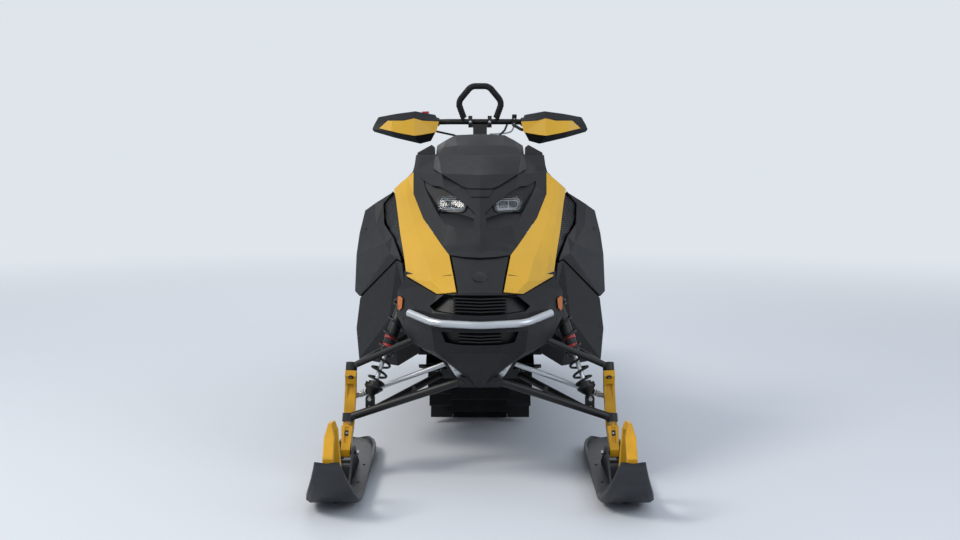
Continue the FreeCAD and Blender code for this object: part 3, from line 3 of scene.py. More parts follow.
import json
import logging
import math
from dataclasses import dataclass
from enum import Enum
from functools import cache
from typing import Any, Callable, ClassVar, Optional

import bmesh
import bpy
from bpy.types import Material, Mesh, Node, NodeSocket, NodeTree, Object
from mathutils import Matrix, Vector
from mathutils.bvhtree import BVHTree

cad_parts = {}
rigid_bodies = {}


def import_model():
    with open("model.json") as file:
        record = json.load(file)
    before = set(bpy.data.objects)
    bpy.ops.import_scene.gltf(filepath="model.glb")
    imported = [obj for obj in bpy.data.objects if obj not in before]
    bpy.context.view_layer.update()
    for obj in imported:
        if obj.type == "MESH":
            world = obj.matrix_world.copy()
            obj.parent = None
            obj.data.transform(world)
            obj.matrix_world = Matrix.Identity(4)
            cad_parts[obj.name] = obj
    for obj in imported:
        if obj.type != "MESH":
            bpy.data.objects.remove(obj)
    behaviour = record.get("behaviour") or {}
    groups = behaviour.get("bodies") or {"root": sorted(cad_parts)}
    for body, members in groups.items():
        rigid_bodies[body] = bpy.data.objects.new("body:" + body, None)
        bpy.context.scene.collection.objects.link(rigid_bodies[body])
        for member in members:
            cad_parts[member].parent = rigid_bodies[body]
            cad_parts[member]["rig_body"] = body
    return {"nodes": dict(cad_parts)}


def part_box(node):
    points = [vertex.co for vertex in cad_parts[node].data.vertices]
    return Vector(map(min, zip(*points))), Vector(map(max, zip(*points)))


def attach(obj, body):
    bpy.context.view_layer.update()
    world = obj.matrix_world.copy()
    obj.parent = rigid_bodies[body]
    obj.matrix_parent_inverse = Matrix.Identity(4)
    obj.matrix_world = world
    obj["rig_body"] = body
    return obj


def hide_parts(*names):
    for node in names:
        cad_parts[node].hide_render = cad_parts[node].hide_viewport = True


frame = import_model()

logging.basicConfig(level=logging.INFO, format="%(asctime)s %(message)s")
LOG = logging.getLogger("snowmobile")

MM = 0.001
TIPS_TO_ORIGIN = 1620.0
SHARP = math.radians(35.0)
UP, DOWN = Vector((0, 0, 1)).freeze(), Vector((0, 0, -1)).freeze()
BACK, AHEAD = Vector((0, 1, 0)).freeze(), Vector((0, -1, 0)).freeze()
TO_LEFT, TO_RIGHT = Vector((1, 0, 0)).freeze(), Vector((-1, 0, 0)).freeze()
Point = tuple[float, float, float]
Pair = tuple[float, float]


def at(x: float, behind_tip: float, z: float) -> Vector:
    """A place in metres from millimetres to the rider's left, behind the ski tips and up."""
    return Vector((x, behind_tip - TIPS_TO_ORIGIN, z)) * MM


# Colour and nodes

def linear(hex_colour: str, alpha: float = 1.0) -> tuple[float, float, float, float]:
    """Turns an sRGB hex colour to the linear red, green, blue and alpha that the shader takes."""
    parts = [int(hex_colour[i:i + 2], 16) / 255 for i in (1, 3, 5)]
    return tuple(c / 12.92 if c <= 0.04045 else ((c + 0.055) / 1.055) ** 2.4 for c in parts) + (alpha,)


def add_node(tree: NodeTree, kind: str, settings: Optional[dict[Any, Any]] = None,
             links: Optional[dict[Any, NodeSocket]] = None) -> Node:
    """Adds one node with its settings and links.

    Args:
        tree: the node tree it goes in.
        kind: the node's type name.
        settings: values by attribute name, or by input name or number.
        links: outputs of other nodes by input name or number.

    Returns:
        The new node.
    """
    node = tree.nodes.new(kind)
    for key, value in (settings or {}).items():
        if isinstance(key, str) and hasattr(node, key):
            setattr(node, key, value)
        else:
            node.inputs[key].default_value = value
    for key, output in (links or {}).items():
        tree.links.new(output, node.inputs[key])
    return node


def per_mm(size_mm: float) -> float:
    """The scale that gives a pattern of this size in a texture laid out in metres."""
    return 1.0 / (size_mm * MM)


class Side(Enum):
    """The machine's two sides, by the sign of x."""

    LEFT = 1
    RIGHT = -1

    @property
    def word(self) -> str:
        """The side's name in the frame."""
        return self.name.lower()


class Fastener(Enum):
    """The fasteners that show, each by its profile of (radius, height) in shares of its size."""

    HEX = ((1.25, 0.0), (1.25, 0.14), (1.1, 0.24))
    BUTTON = ((1.0, 0.0), (1.0, 0.22), (0.86, 0.46), (0.5, 0.6), (0.46, 0.58), (0.44, 0.3), (0.02, 0.28))
    RIVET = ((1.0, 0.0), (0.92, 0.28), (0.66, 0.5), (0.36, 0.58), (0.3, 0.48), (0.02, 0.48))
    CLIP = ((1.0, 0.0), (0.98, 0.14), (0.8, 0.3), (0.52, 0.34), (0.48, 0.18), (0.02, 0.16))


# Finishes

@dataclass(frozen=True)
class Grain:
    """A pattern in a surface: its texture, its real size and depth, and how much of it shows.

    One size in millimetres gives an even pattern, three stretch it along x, y and z. Where the
    pattern moves the roughness, the shine says how far below and above its typical value.
    """

    kind: str
    sizes_mm: tuple[float, ...]
    depth_mm: float = 0.0
    strength: float = 0.0
    output: str = "Fac"
    settings: tuple[tuple[str, Any], ...] = ()
    shine: Optional[Pair] = None


@dataclass(frozen=True)
class Finish:
    """What every finish has: a name, a colour in hex and a typical roughness."""

    name: str
    colour: str
    roughness: float
    # Patch size in millimetres and share of the drift, for the colour and for the roughness.
    patches: ClassVar[Pair] = (60.0, 0.1)
    wear: ClassVar[Optional[Pair]] = None
    surface: ClassVar[Optional[Grain]] = None
    constants: ClassVar[dict[str, float]] = {}

    def grain(self) -> Optional[Grain]:
        """The surface's grain."""
        return self.surface

    def levels(self) -> dict[str, float]:
        """The shader's constants beside the roughness."""
        return self.constants

    def drift(self, tree: NodeTree, shader: Node, source: NodeSocket, below: float, above: float) -> None:
        """Lets a pattern move the roughness, so that a highlight breaks up.

        Args:
            tree: the material's tree.
            shader: its shader.
            source: the pattern.
            below: how far the roughness falls.
            above: how far it rises.
        """
        span = add_node(tree, "ShaderNodeMapRange",
                        {"To Min": self.roughness - below, "To Max": self.roughness + above},
                        {"Value": source})
        tree.links.new(span.outputs["Result"], shader.inputs["Roughness"])

    def tint(self, tree: NodeTree, shader: Node, place: NodeSocket) -> None:
        """Lets the colour drift a little over the surface, as pigment does.

        Args:
            tree: the material's tree.
            shader: its shader.
            place: the piece's own coordinates.
        """
        patch_mm, share = self.patches
        cloud = add_node(tree, "ShaderNodeTexNoise", {"Scale": per_mm(patch_mm), "Detail": 4.0},
                         {"Vector": place})
        ramp = add_node(tree, "ShaderNodeValToRGB", {}, {"Fac": cloud.outputs["Fac"]})
        for element, position, factor in zip(ramp.color_ramp.elements, (0.35, 0.65), (1 - share, 1 + share)):
            element.position = position
            element.color = (*(min(1.0, c * factor) for c in linear(self.colour)[:3]), 1)
        tree.links.new(ramp.outputs["Color"], shader.inputs["Base Color"])

    def press(self, tree: NodeTree, shader: Node, place: NodeSocket, grain: Grain) -> None:
        """Presses the grain into the surface.

        Args:
            tree: the material's tree.
            shader: its shader.
            place: the piece's own coordinates.
            grain: the pattern.
        """
        scale = per_mm(grain.sizes_mm[0])
        if len(grain.sizes_mm) == 3:
            scale = 1.0
            scales = tuple(per_mm(size) for size in grain.sizes_mm)
            place = add_node(tree, "ShaderNodeMapping", {"Scale": scales}, {"Vector": place}).outputs[0]
        texture = add_node(tree, grain.kind, {"Scale": scale, **dict(grain.settings)}, {"Vector": place})
        height = texture.outputs[grain.output]
        if grain.shine:
            self.drift(tree, shader, height, *grain.shine)
        if grain.strength:
            bump = add_node(tree, "ShaderNodeBump", {"Strength": grain.strength,
                                                     "Distance": grain.depth_mm * MM}, {"Height": height})
            tree.links.new(bump.outputs["Normal"], shader.inputs["Normal"])

    def make(self) -> Material:
        """Builds the material with its colour, its wear and its grain.

        Returns:
            The material.
        """
        material = bpy.data.materials.new(self.name)
        material.use_nodes = True
        tree = material.node_tree
        tree.nodes.clear()
        shader = add_node(tree, "ShaderNodeBsdfPrincipled", {"Roughness": self.roughness, **self.levels()})
        add_node(tree, "ShaderNodeOutputMaterial", {}, {"Surface": shader.outputs[0]})
        place = add_node(tree, "ShaderNodeTexCoord").outputs["Object"]
        self.tint(tree, shader, place)
        if self.wear:
            cloud = add_node(tree, "ShaderNodeTexNoise", {"Scale": per_mm(self.wear[0]), "Detail": 5.0},
                             {"Vector": place})
            self.drift(tree, shader, cloud.outputs["Fac"], self.wear[1], self.wear[1])
        grain = self.grain()
        if grain:
            self.press(tree, shader, place, grain)
        return material


@dataclass(frozen=True)
class MouldedPlastic(Finish):
    """Polypropylene or nylon, injection moulded against an etched tool."""

    # The eye sees a dull black whose highlight is broken by an even fine grain. The real grain is
    # about a third of this size: it is drawn coarser so that it shows.
    grain_mm: float = 1.1
    depth_mm: float = 0.12
    gloss: float = 0.32
    patches = (60.0, 0.16)
    wear = (25.0, 0.06)

    def grain(self) -> Optional[Grain]:
        """The etched grain."""
        return Grain("ShaderNodeTexVoronoi", (self.grain_mm,), self.depth_mm, 0.35, "Distance")

    def levels(self) -> dict[str, float]:
        """The shader's constants beside the roughness."""
        return {"Specular IOR Level": self.gloss}


@dataclass(frozen=True)
class MouldedInColour(Finish):
    """Body plastic coloured right through, from a polished tool, under a clear coat."""

    # The eye sees a saturated colour with a soft bright reflection and a faint ripple.
    patches = (140.0, 0.035)
    wear = (40.0, 0.03)
    surface = Grain("ShaderNodeTexNoise", (5.0,), 0.12, 0.12, settings=(("Detail", 2.0),))
    constants = {"Specular IOR Level": 0.4, "Coat Weight": 0.3, "Coat Roughness": 0.15}


@dataclass(frozen=True)
class PowderCoat(Finish):
    """Steel or aluminium under baked powder."""

    # The eye sees a satin film with orange peel.
    gloss: float = 0.4
    patches = (50.0, 0.12)
    wear = (12.0, 0.05)
    surface = Grain("ShaderNodeTexNoise", (2.2,), 0.1, 0.3, settings=(("Detail", 2.0),))

    def levels(self) -> dict[str, float]:
        """The shader's constants beside the roughness."""
        return {"Specular IOR Level": self.gloss}


@dataclass(frozen=True)
class SatinAluminium(Finish):
    """Drawn aluminium, brushed and anodised."""

    # The eye sees a grey metal whose highlight is drawn out across the brush lines. They lie half a
    # millimetre apart and are drawn wider than the real ones so that they show.
    patches = (80.0, 0.05)
    surface = Grain("ShaderNodeTexNoise", (50.0, 1.2, 1.2), 0.05, 0.25,
                    settings=(("Detail", 3.0),), shine=(0.08, 0.1))
    constants = {"Metallic": 1.0}


@dataclass(frozen=True)
class CoatedCasting(Finish):
    """Aluminium, die cast, tumbled and dipped in a thin coat."""

    # The eye sees the casting's grain through a dull film.
    patches = (30.0, 0.2)
    wear = (8.0, 0.1)
    surface = Grain("ShaderNodeTexNoise", (1.6,), 0.25, 0.4, settings=(("Detail", 6.0),))
    constants = {"Metallic": 0.35}


@dataclass(frozen=True)
class PlatedSteel(Finish):
    """Zinc plated steel."""

    # The eye sees a pale metal with small cloudy spangles.
    patches = (6.0, 0.12)
    surface = Grain("ShaderNodeTexVoronoi", (2.5,), output="Distance", shine=(0.06, 0.12))
    constants = {"Metallic": 1.0}


@dataclass(frozen=True)
class MouldedRubber(Finish):
    """Carbon black rubber from a dull mould."""

    # The eye sees a soft matt black, greyer where it has rubbed.
    patches = (35.0, 0.25)
    wear = (15.0, 0.08)
    surface = Grain("ShaderNodeTexNoise", (1.8,), 0.3, 0.35, settings=(("Detail", 4.0),))
    constants = {"Specular IOR Level": 0.3}


@dataclass(frozen=True)
class EmbossedVinyl(Finish):
    """Coated fabric with a leather grain pressed in."""

    # The eye sees pebbles with dark creases and a low sheen.
    patches = (70.0, 0.15)
    wear = (18.0, 0.07)
    surface = Grain("ShaderNodeTexVoronoi", (3.2,), 0.5, 0.4, "Distance",
                    (("feature", "DISTANCE_TO_EDGE"),))
    constants = {"Sheen Weight": 0.12, "Sheen Roughness": 0.4, "Specular IOR Level": 0.35}


@dataclass(frozen=True)
class ClearLens(Finish):
    """Polycarbonate lens, hard coated."""

    # The eye sees the reflector through a bright skin.
    patches = (20.0, 0.02)
    surface = Grain("ShaderNodeTexNoise", (12.0,), 0.1, 0.1, settings=(("Detail", 1.0),))
    constants = {"Transmission Weight": 1.0, "IOR": 1.45}


@dataclass(frozen=True)
class MetallisedReflector(Finish):
    """Plastic with aluminium deposited on it in a vacuum."""

    # The eye sees a grey mirror, a little clouded.
    patches = (10.0, 0.08)
    wear = (6.0, 0.05)
    constants = {"Metallic": 1.0}


@dataclass(frozen=True)
class PrismLens(Finish):
    """Coloured acrylic with small corner prisms moulded in its back."""

    # The eye sees a bright mosaic.
    surface = Grain("ShaderNodeTexVoronoi", (3.0,), 0.6, 0.5, "Distance")
    constants = {"Coat Weight": 0.15, "Specular IOR Level": 0.3}

    def tint(self, tree: NodeTree, shader: Node, place: NodeSocket) -> None:
        """Paints shade on each prism's rim, where the real prisms send back less light; the prisms' layout is
        real.

        Args:
            tree: the material's tree.
            shader: its shader.
            place: the piece's own coordinates.
        """
        cells = add_node(tree, "ShaderNodeTexVoronoi", {"Scale": per_mm(3.0)}, {"Vector": place})
        ramp = add_node(tree, "ShaderNodeValToRGB", {}, {"Fac": cells.outputs["Distance"]})
        r, g, b, _ = linear(self.colour)
        ramp.color_ramp.elements[0].color = (r, g, b, 1)
        # Painted shade: each prism's rim is darkened, as the rims look where they send back less light.
        ramp.color_ramp.elements[1].color = (r * 0.45, g * 0.35, b * 0.3, 1)
        tree.links.new(ramp.outputs["Color"], shader.inputs["Base Color"])


@dataclass(frozen=True)
class SmokedPolycarbonate(Finish):
    """Dark tinted polycarbonate sheet, thermoformed."""

    # The eye sees a near black satin that lightens at grazing angles.
    patches = (120.0, 0.1)
    wear = (30.0, 0.04)
    surface = Grain("ShaderNodeTexNoise", (30.0,), 0.3, 0.1, settings=(("Detail", 1.0),))
    constants = {"Specular IOR Level": 0.35}


HOOD_BLACK = MouldedPlastic("satin_hood_plastic", "#1A1C20", 0.48, 1.6, 0.08, 0.34)
BODY_BLACK = MouldedPlastic("textured_body_plastic", "#15161A", 0.5, 1.3, 0.12, 0.3)
GRILLE_BLACK = MouldedPlastic("grille_nylon", "#101113", 0.5, 1.2, 0.12, 0.4)
# Painted shade: a near black, barely glossy sheet stands in for the shaded opening behind each side vent's
# mesh.
VENT_SHADE = MouldedPlastic("vent_backing_nylon", "#08090A", 0.7, 1.2, 0.12, 0.15)
WIRE_BLACK = MouldedPlastic("vent_mesh_nylon", "#2B2D31", 0.42, 1.2, 0.06, 0.5)
GLOSS_BLACK = MouldedPlastic("polished_black_acrylic", "#0C0D0F", 0.2, 2.0, 0.03, 0.5)
SKI_PLASTIC = MouldedPlastic("ski_polyethylene", "#26292E", 0.48, 1.8, 0.12, 0.4)
SLIDE_PLASTIC = MouldedPlastic("slide_polyethylene", "#2A2620", 0.35, 2.2, 0.06, 0.4)
BODY_YELLOW = MouldedInColour("moulded_yellow_body_plastic", "#D6A626", 0.4)
CHASSIS_BLACK = PowderCoat("black_powder_coat", "#121315", 0.42)
YELLOW_COAT = PowderCoat("yellow_powder_coat", "#D39C1A", 0.38)
RED_ANODISE = PowderCoat("red_anodised_collar", "#A81A1C", 0.35, 0.5)
SATIN_METAL = SatinAluminium("satin_anodised_aluminium", "#C4C8CD", 0.34)
RAIL_METAL = SatinAluminium("mill_finish_aluminium", "#8F9398", 0.42)
DARK_CAST = CoatedCasting("black_dipped_casting", "#1D1F22", 0.5)
ENGINE_CAST = CoatedCasting("grey_engine_casting", "#4A4D50", 0.5)
BOLT_STEEL = PlatedSteel("zinc_plated_steel", "#B9BBBD", 0.34)
DARK_BOLT = PowderCoat("blackened_steel", "#1C1D1F", 0.36)
TRACK_RUBBER = MouldedRubber("track_rubber", "#17181A", 0.78)
GRIP_RUBBER = MouldedRubber("grip_rubber", "#141517", 0.68)
SEAT_VINYL = EmbossedVinyl("embossed_seat_vinyl", "#17181B", 0.5)
SEAT_THREAD = MouldedRubber("seat_thread", "#B88D2A", 0.7)
LAMP_LENS = ClearLens("lamp_polycarbonate", "#F2F5F7", 0.04)
LAMP_CHROME = MetallisedReflector("lamp_reflector", "#53585D", 0.5)
LIGHT_GUIDE = MouldedInColour("opal_light_guide", "#C3C9CE", 0.4)
LAMP_HOUSING = MouldedPlastic("lamp_housing_plastic", "#1A1C1F", 0.35, 1.5, 0.05, 0.5)
AMBER_LENS = PrismLens("amber_reflector_acrylic", "#E07A08", 0.34)
RED_LENS = PrismLens("red_tail_lens_acrylic", "#A31118", 0.2)
RED_BUTTON = MouldedInColour("red_switch_plastic", "#C0161B", 0.35)
HOSE_SHEATH = MouldedInColour("clear_coated_hose_braid", "#A9AEB3", 0.35)
SMOKED = SmokedPolycarbonate("smoked_visor_polycarbonate", "#15161A", 0.46)


@cache
def material_of(finish: Finish) -> Material:
    """The material of a finish, made on its first use."""
    return finish.make()


# Meshes

def body_of(node: str) -> str:
    """The body that a node rides on."""
    return frame["nodes"][node]["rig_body"]


def square_to(axis: Vector) -> tuple[Vector, Vector]:
    """Two directions square to an axis and to each other.

    Args:
        axis: the axis.

    Returns:
        The two directions.
    """
    guide = UP if abs(axis.normalized().z) < 0.9 else BACK
    first = guide.cross(axis).normalized()
    return first, axis.normalized().cross(first)


class Shape:
    """A mesh that grows by tubes, turned forms and prisms."""

    def __init__(self) -> None:
        """Starts empty."""
        self.points: list[Vector] = []
        self.faces: list[tuple[int, ...]] = []

    def skin(self, rings: list[list[Vector]], looped: bool = False) -> None:
        """Joins rings of points with quads and closes the two ends.

        Args:
            rings: rings with equal numbers of points.
            looped: True where the last ring meets the first.
        """
        base, count, size = len(self.points), len(rings), len(rings[0])
        for ring in rings:
            self.points.extend(ring)
        for i in range(count if looped else count - 1):
            a, b = base + i * size, base + ((i + 1) % count) * size
            for k in range(size):
                n = (k + 1) % size
                self.faces.append((a + k, a + n, b + n, b + k))
        if not looped:
            self.faces.append(tuple(range(base + size - 1, base - 1, -1)))
            self.faces.append(tuple(range(base + (count - 1) * size, base + count * size)))

    def tube(self, path: list[Vector], radius_mm: float, sides: int = 10, looped: bool = False) -> None:
        """A round bar along a path.

        Args:
            path: its middle line, in metres.
            radius_mm: its radius.
            sides: flats round it.
            looped: True for a closed path.
        """
        side = square_to(path[1] - path[0])[0]
        rings = []
        for k, point in enumerate(path):
            before = path[k - 1] if k or looped else point
            after = path[(k + 1) % len(path)] if k < len(path) - 1 or looped else point
            along = (after - before).normalized()
            side = (side - along * side.dot(along)).normalized()
            other = along.cross(side)
            rings.append([point + (side * math.cos(t) + other * math.sin(t)) * radius_mm * MM
                          for t in (2 * math.pi * m / sides for m in range(sides))])
        self.skin(rings, looped)

    def turned(self, place: Vector, axis: Vector, profile: list[Pair], sides: int = 20) -> None:
        """A form turned about an axis.

        Args:
            place: where height nought is.
            axis: the direction of the height.
            profile: radius and height pairs, in millimetres.
            sides: flats round it.
        """
        first, second = square_to(axis)
        up = axis.normalized()
        rings = []
        for radius, height in profile:
            rings.append([place + up * height * MM
                          + (first * math.cos(t) + second * math.sin(t)) * radius * MM
                          for t in (2 * math.pi * m / sides for m in range(sides))])
        self.skin(rings)

    def ring(self, place: Vector, axis: Vector, section: list[Pair], sides: int = 24) -> None:
        """A closed ring turned about an axis.

        Args:
            place: where height nought is.
            axis: the direction of the height.
            section: the corners of its cut face as radius and height, in millimetres.
            sides: flats round it.
        """
        first, second = square_to(axis)
        up = axis.normalized()
        rings = []
        for k in range(sides):
            t = 2 * math.pi * k / sides
            out = first * math.cos(t) + second * math.sin(t)
            rings.append([place + out * radius * MM + up * height * MM for radius, height in section])
        self.skin(rings, True)

    def prism(self, outline: list[Vector], depth: Vector) -> None:
        """A plate from its outline in metres, with the way and distance to its other face."""
        self.skin([outline, [p + depth for p in outline]])

    def wedge_box(self, middle: Vector, along: Vector, across: Vector, out: Vector, size: Point,
                  top_share: float = 1.0) -> None:
        """A block on a surface, narrowed towards its top.

        Args:
            middle: the middle of its foot.
            along: its length's direction.
            across: its width's direction.
            out: the way off the surface.
            size: length, width and height in millimetres.
            top_share: how much of the foot's size its top has.
        """
        rings = []
        for share, rise in ((1.0, 0.0), (top_share, size[2])):
            ring = []
            for a, b in ((-1, -1), (1, -1), (1, 1), (-1, 1)):
                ring.append(middle + along.normalized() * (a * size[0] / 2 * share * MM)
                            + across.normalized() * (b * size[1] / 2 * share * MM)
                            + out.normalized() * rise * MM)
            rings.append(ring)
        self.skin(rings)

    def fasten(self, kind: Fastener, place: Vector, axis: Vector, size_mm: float) -> None:
        """Sets one fastener on a surface.

        Args:
            kind: which fastener.
            place: the surface under its middle.
            axis: the way off the surface.
            size_mm: its radius.
        """
        sunk = place - axis.normalized() * 0.3 * MM
        self.turned(sunk, axis, [(r * size_mm, h * size_mm) for r, h in kind.value], 16)
        if kind is Fastener.HEX:
            self.turned(sunk, axis, [(0.98 * size_mm, 0.2 * size_mm), (0.98 * size_mm, 0.8 * size_mm),
                                     (0.84 * size_mm, 0.96 * size_mm)], 6)

    def mirror(self) -> None:
        """Adds the mirror of all that it holds, for the other side."""
        base = len(self.points)
        self.points.extend([Vector((-p.x, p.y, p.z)) for p in self.points[:base]])
        self.faces.extend([tuple(base + k for k in reversed(face)) for face in self.faces])

    def mesh(self, name: str) -> Mesh:
        """The mesh itself, with its faces turned outwards.

        Args:
            name: the mesh's name.

        Returns:
            The mesh.
        """
        mesh = bpy.data.meshes.new(name)
        mesh.from_pydata([tuple(p) for p in self.points], [], self.faces)
        bm = bmesh.new()
        bm.from_mesh(mesh)
        bmesh.ops.recalc_face_normals(bm, faces=bm.faces)
        bm.to_mesh(mesh)
        bm.free()
        mesh.shade_smooth()
        mesh.set_sharp_from_angle(angle=SHARP)
        return mesh


class Skin:
    """A node's surface, to set things on."""

    def __init__(self, mesh: Mesh) -> None:
        """Reads the surface of the mesh that carries the things."""
        self.tree = BVHTree.FromPolygons([v.co for v in mesh.vertices],
                                         [tuple(p.vertices) for p in mesh.polygons])

    def meet(self, start: Vector, way: Vector) -> Optional[tuple[Vector, Vector]]:
        """Where a line from a place meets the surface.

        Args:
            start: the place it starts from.
            way: its direction.

        Returns:
            The place and the way off the surface, or nothing where it misses.
        """
        place, normal, _, _ = self.tree.ray_cast(start, way.normalized())
        if place is None:
            return None
        return place, (-normal if normal.dot(way) > 0 else normal)


def new_piece(name: str, mesh: Mesh, finish: Finish, body: str) -> Object:
    """Links a mesh as a piece that rides on a body.

    Args:
        name: the piece's name.
        mesh: its mesh, in the frame.
        finish: its finish.
        body: the body it rides on.

    Returns:
        The piece.
    """
    piece = bpy.data.objects.new(name, mesh)
    bpy.context.scene.collection.objects.link(piece)
    mesh.materials.clear()
    mesh.materials.append(material_of(finish))
    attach(piece, body)
    return piece


def apply_modifiers(piece: Object) -> None:
    """Turns a piece's modifiers into its mesh.

    Args:
        piece: the piece.
    """
    graph = bpy.context.evaluated_depsgraph_get()
    mesh = bpy.data.meshes.new_from_object(piece.evaluated_get(graph), preserve_all_data_layers=True,
                                           depsgraph=graph)
    piece.modifiers.clear()
    old = piece.data
    piece.data = mesh
    bpy.data.meshes.remove(old)


def soften(piece: Object, width_mm: float, segments: int = 2, sharp_deg: float = 28.0) -> None:
    """Rounds a piece's edges as the real one's are and smooths the faces between.

    Args:
        piece: the piece.
        width_mm: how wide the rounding is.
        segments: how many strips it has.
        sharp_deg: edges that turn by more than this are rounded.
    """
    piece.data.shade_smooth()
    bevel = piece.modifiers.new("rounding", "BEVEL")
    bevel.width = width_mm * MM
    bevel.segments = segments
    bevel.limit_method = "ANGLE"
    bevel.angle_limit = math.radians(sharp_deg)
    bevel.harden_normals = False
    bevel.use_clamp_overlap = True
    weighted = piece.modifiers.new("even_shading", "WEIGHTED_NORMAL")
    weighted.keep_sharp = True
    apply_modifiers(piece)


def clean_copy(node: str) -> Mesh:
    """A node's mesh with its split corners joined and its flat faces whole.

    Args:
        node: the node's name.

    Returns:
        The new mesh.
    """
    source = frame["nodes"][node].data
    bm = bmesh.new()
    bm.from_mesh(source)
    bmesh.ops.remove_doubles(bm, verts=bm.verts, dist=2e-5)
    bmesh.ops.dissolve_limit(bm, angle_limit=math.radians(0.8), verts=bm.verts, edges=bm.edges)
    bmesh.ops.recalc_face_normals(bm, faces=bm.faces)
    mesh = bpy.data.meshes.new(node + "_dressed")
    bm.to_mesh(mesh)
    bm.free()
    return mesh


@dataclass
class Assembly:
    """A sub-assembly of the machine: it dresses its nodes and adds what the solids leave out."""

    title: str = "assembly"
    rows: tuple = ()

    def dress(self, node: str, finish: Finish, slot: str, edge_mm: float = 1.5, sharp_deg: float = 28.0,
              segments: int = 2) -> Object:
        """Gives a node that keeps its form its real edges and finish.

        Args:
            node: the node's name.
            finish: its finish.
            slot: its material slot in the record; not used.
            edge_mm: how wide its edges are rounded.
            sharp_deg: edges that turn by more than this are rounded.
            segments: how many strips the rounding has.

        Returns:
            The piece that stands for the node.
        """
        piece = new_piece(node + "_skin", clean_copy(node), finish, body_of(node))
        soften(piece, edge_mm, segments, sharp_deg)
        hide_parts(node)
        return piece

    def add(self, name: str, shape: Shape, finish: Finish, body: str, slot: str) -> Object:
        """Makes a piece from a shape, in a finish and on a body."""
        return new_piece(name, shape.mesh(name), finish, body)

    def add_pairs(self, rows: tuple[tuple[str, Shape, Finish], ...], slot: str) -> list[Object]:
        """Makes a piece of the chassis from each shape and its mirror.

        Args:
            rows: each piece's name, its shape on the left and its finish.
            slot: the record's slot.

        Returns:
            The pieces.
        """
        made = []
        for name, shape, finish in rows:
            shape.mirror()
            made.append(self.add(name, shape, finish, "chassis", slot))
        return made

    def mould(self, name: str, mesh: Mesh, finish: Finish, slot: str, edge_mm: float = 2.0,
              sharp_deg: float = 14.0, node: str = "", body: str = "chassis") -> Object:
        """Makes a piece from a closed mesh and rounds its edges.

        Args:
            name: its name.
            mesh: the mesh.
            finish: its finish.
            slot: the record's slot; not used.
            edge_mm: how wide its edges are rounded.
            sharp_deg: edges that turn by more than this are rounded.
            node: the node that it stands for, if any.
            body: the body it rides on.

        Returns:
            The piece.
        """
        bm = bmesh.new()
        bm.from_mesh(mesh)
        bmesh.ops.remove_doubles(bm, verts=bm.verts, dist=5e-5)
        bmesh.ops.dissolve_limit(bm, angle_limit=math.radians(0.6), verts=bm.verts, edges=bm.edges)
        bmesh.ops.recalc_face_normals(bm, faces=bm.faces)
        bm.to_mesh(mesh)
        bm.free()
        piece = new_piece(name, mesh, finish, body)
        soften(piece, edge_mm, 2, sharp_deg)
        if node:
            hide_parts(node)
        return piece

    def pin(self, shape: Shape, skin: Skin, kind: Fastener, start: Vector, way: Vector,
            size_mm: float) -> None:
        """Sets a fastener where a line meets a surface, and none where it misses.

        Args:
            shape: the shape that gets it.
            skin: the surface that carries it.
            kind: which fastener.
            start: where the line starts.
            way: its direction.
            size_mm: the fastener's radius.
        """
        found = skin.meet(start, way)
        if found:
            shape.fasten(kind, found[0], found[1], size_mm)

    def build(self) -> list[Object]:
        """Builds every piece of the sub-assembly."""
        return [self.dress(*row) for row in self.rows]


# Panels

MACHINE_MIDDLE = (0.0, 1250.0, 650.0)
Rows = tuple[tuple[Point, ...], ...]
Outline = tuple[Pair, ...]


def combine(first: Mesh, second: Mesh, how: str) -> Mesh:
    """Joins, cuts or keeps what two closed meshes share.

    Args:
        first: the mesh that is worked on.
        second: the other mesh.
        how: UNION, DIFFERENCE or INTERSECT.

    Returns:
        The new mesh.
    """
    objects = [bpy.data.objects.new("worked_on", first), bpy.data.objects.new("tool", second)]
    for thing in objects:
        bpy.context.scene.collection.objects.link(thing)
    boolean = objects[0].modifiers.new("cut", "BOOLEAN")
    boolean.operation, boolean.solver, boolean.object = how, "EXACT", objects[1]
    graph = bpy.context.evaluated_depsgraph_get()
    mesh = bpy.data.meshes.new_from_object(objects[0].evaluated_get(graph))
    for thing in objects:
        bpy.data.objects.remove(thing)
    return mesh


def front_prism(outline: Outline, near: float, far: float) -> Mesh:
    """A prism seen from the front, between two places behind the tips.

    Args:
        outline: its corners as x and height.
        near: where it starts.
        far: where it ends.

    Returns:
        The closed mesh.
    """
    shape = Shape()
    shape.prism([at(x, near, z) for x, z in outline], Vector((0, far - near, 0)) * MM)
    return shape.mesh("front_prism")


def side_prism(outline: Outline, left: float, right: float) -> Mesh:
    """A prism seen from the side, between two places sideways.

    Args:
        outline: its corners as distance behind the tips and height.
        left: where it starts.
        right: where it ends.

    Returns:
        The closed mesh.
    """
    shape = Shape()
    shape.prism([at(left, s, z) for s, z in outline], Vector((right - left, 0, 0)) * MM)
    return shape.mesh("side_prism")


def whole(half: Outline) -> Outline:
    """The whole outline from the half on the left."""
    return half + tuple((-x, z) for x, z in reversed(half) if x)


def grown(outline: Outline, by: float) -> Outline:
    """An outline with each corner moved off its middle.

    Args:
        outline: the outline.
        by: how far its corners move, in millimetres.

    Returns:
        The new outline.
    """
    ca, cb = sum(a for a, _ in outline) / len(outline), sum(b for _, b in outline) / len(outline)
    sizes = [math.hypot(a - ca, b - cb) for a, b in outline]
    return tuple((ca + (a - ca) * (1 + by / r), cb + (b - cb) * (1 + by / r))
                 for (a, b), r in zip(outline, sizes))


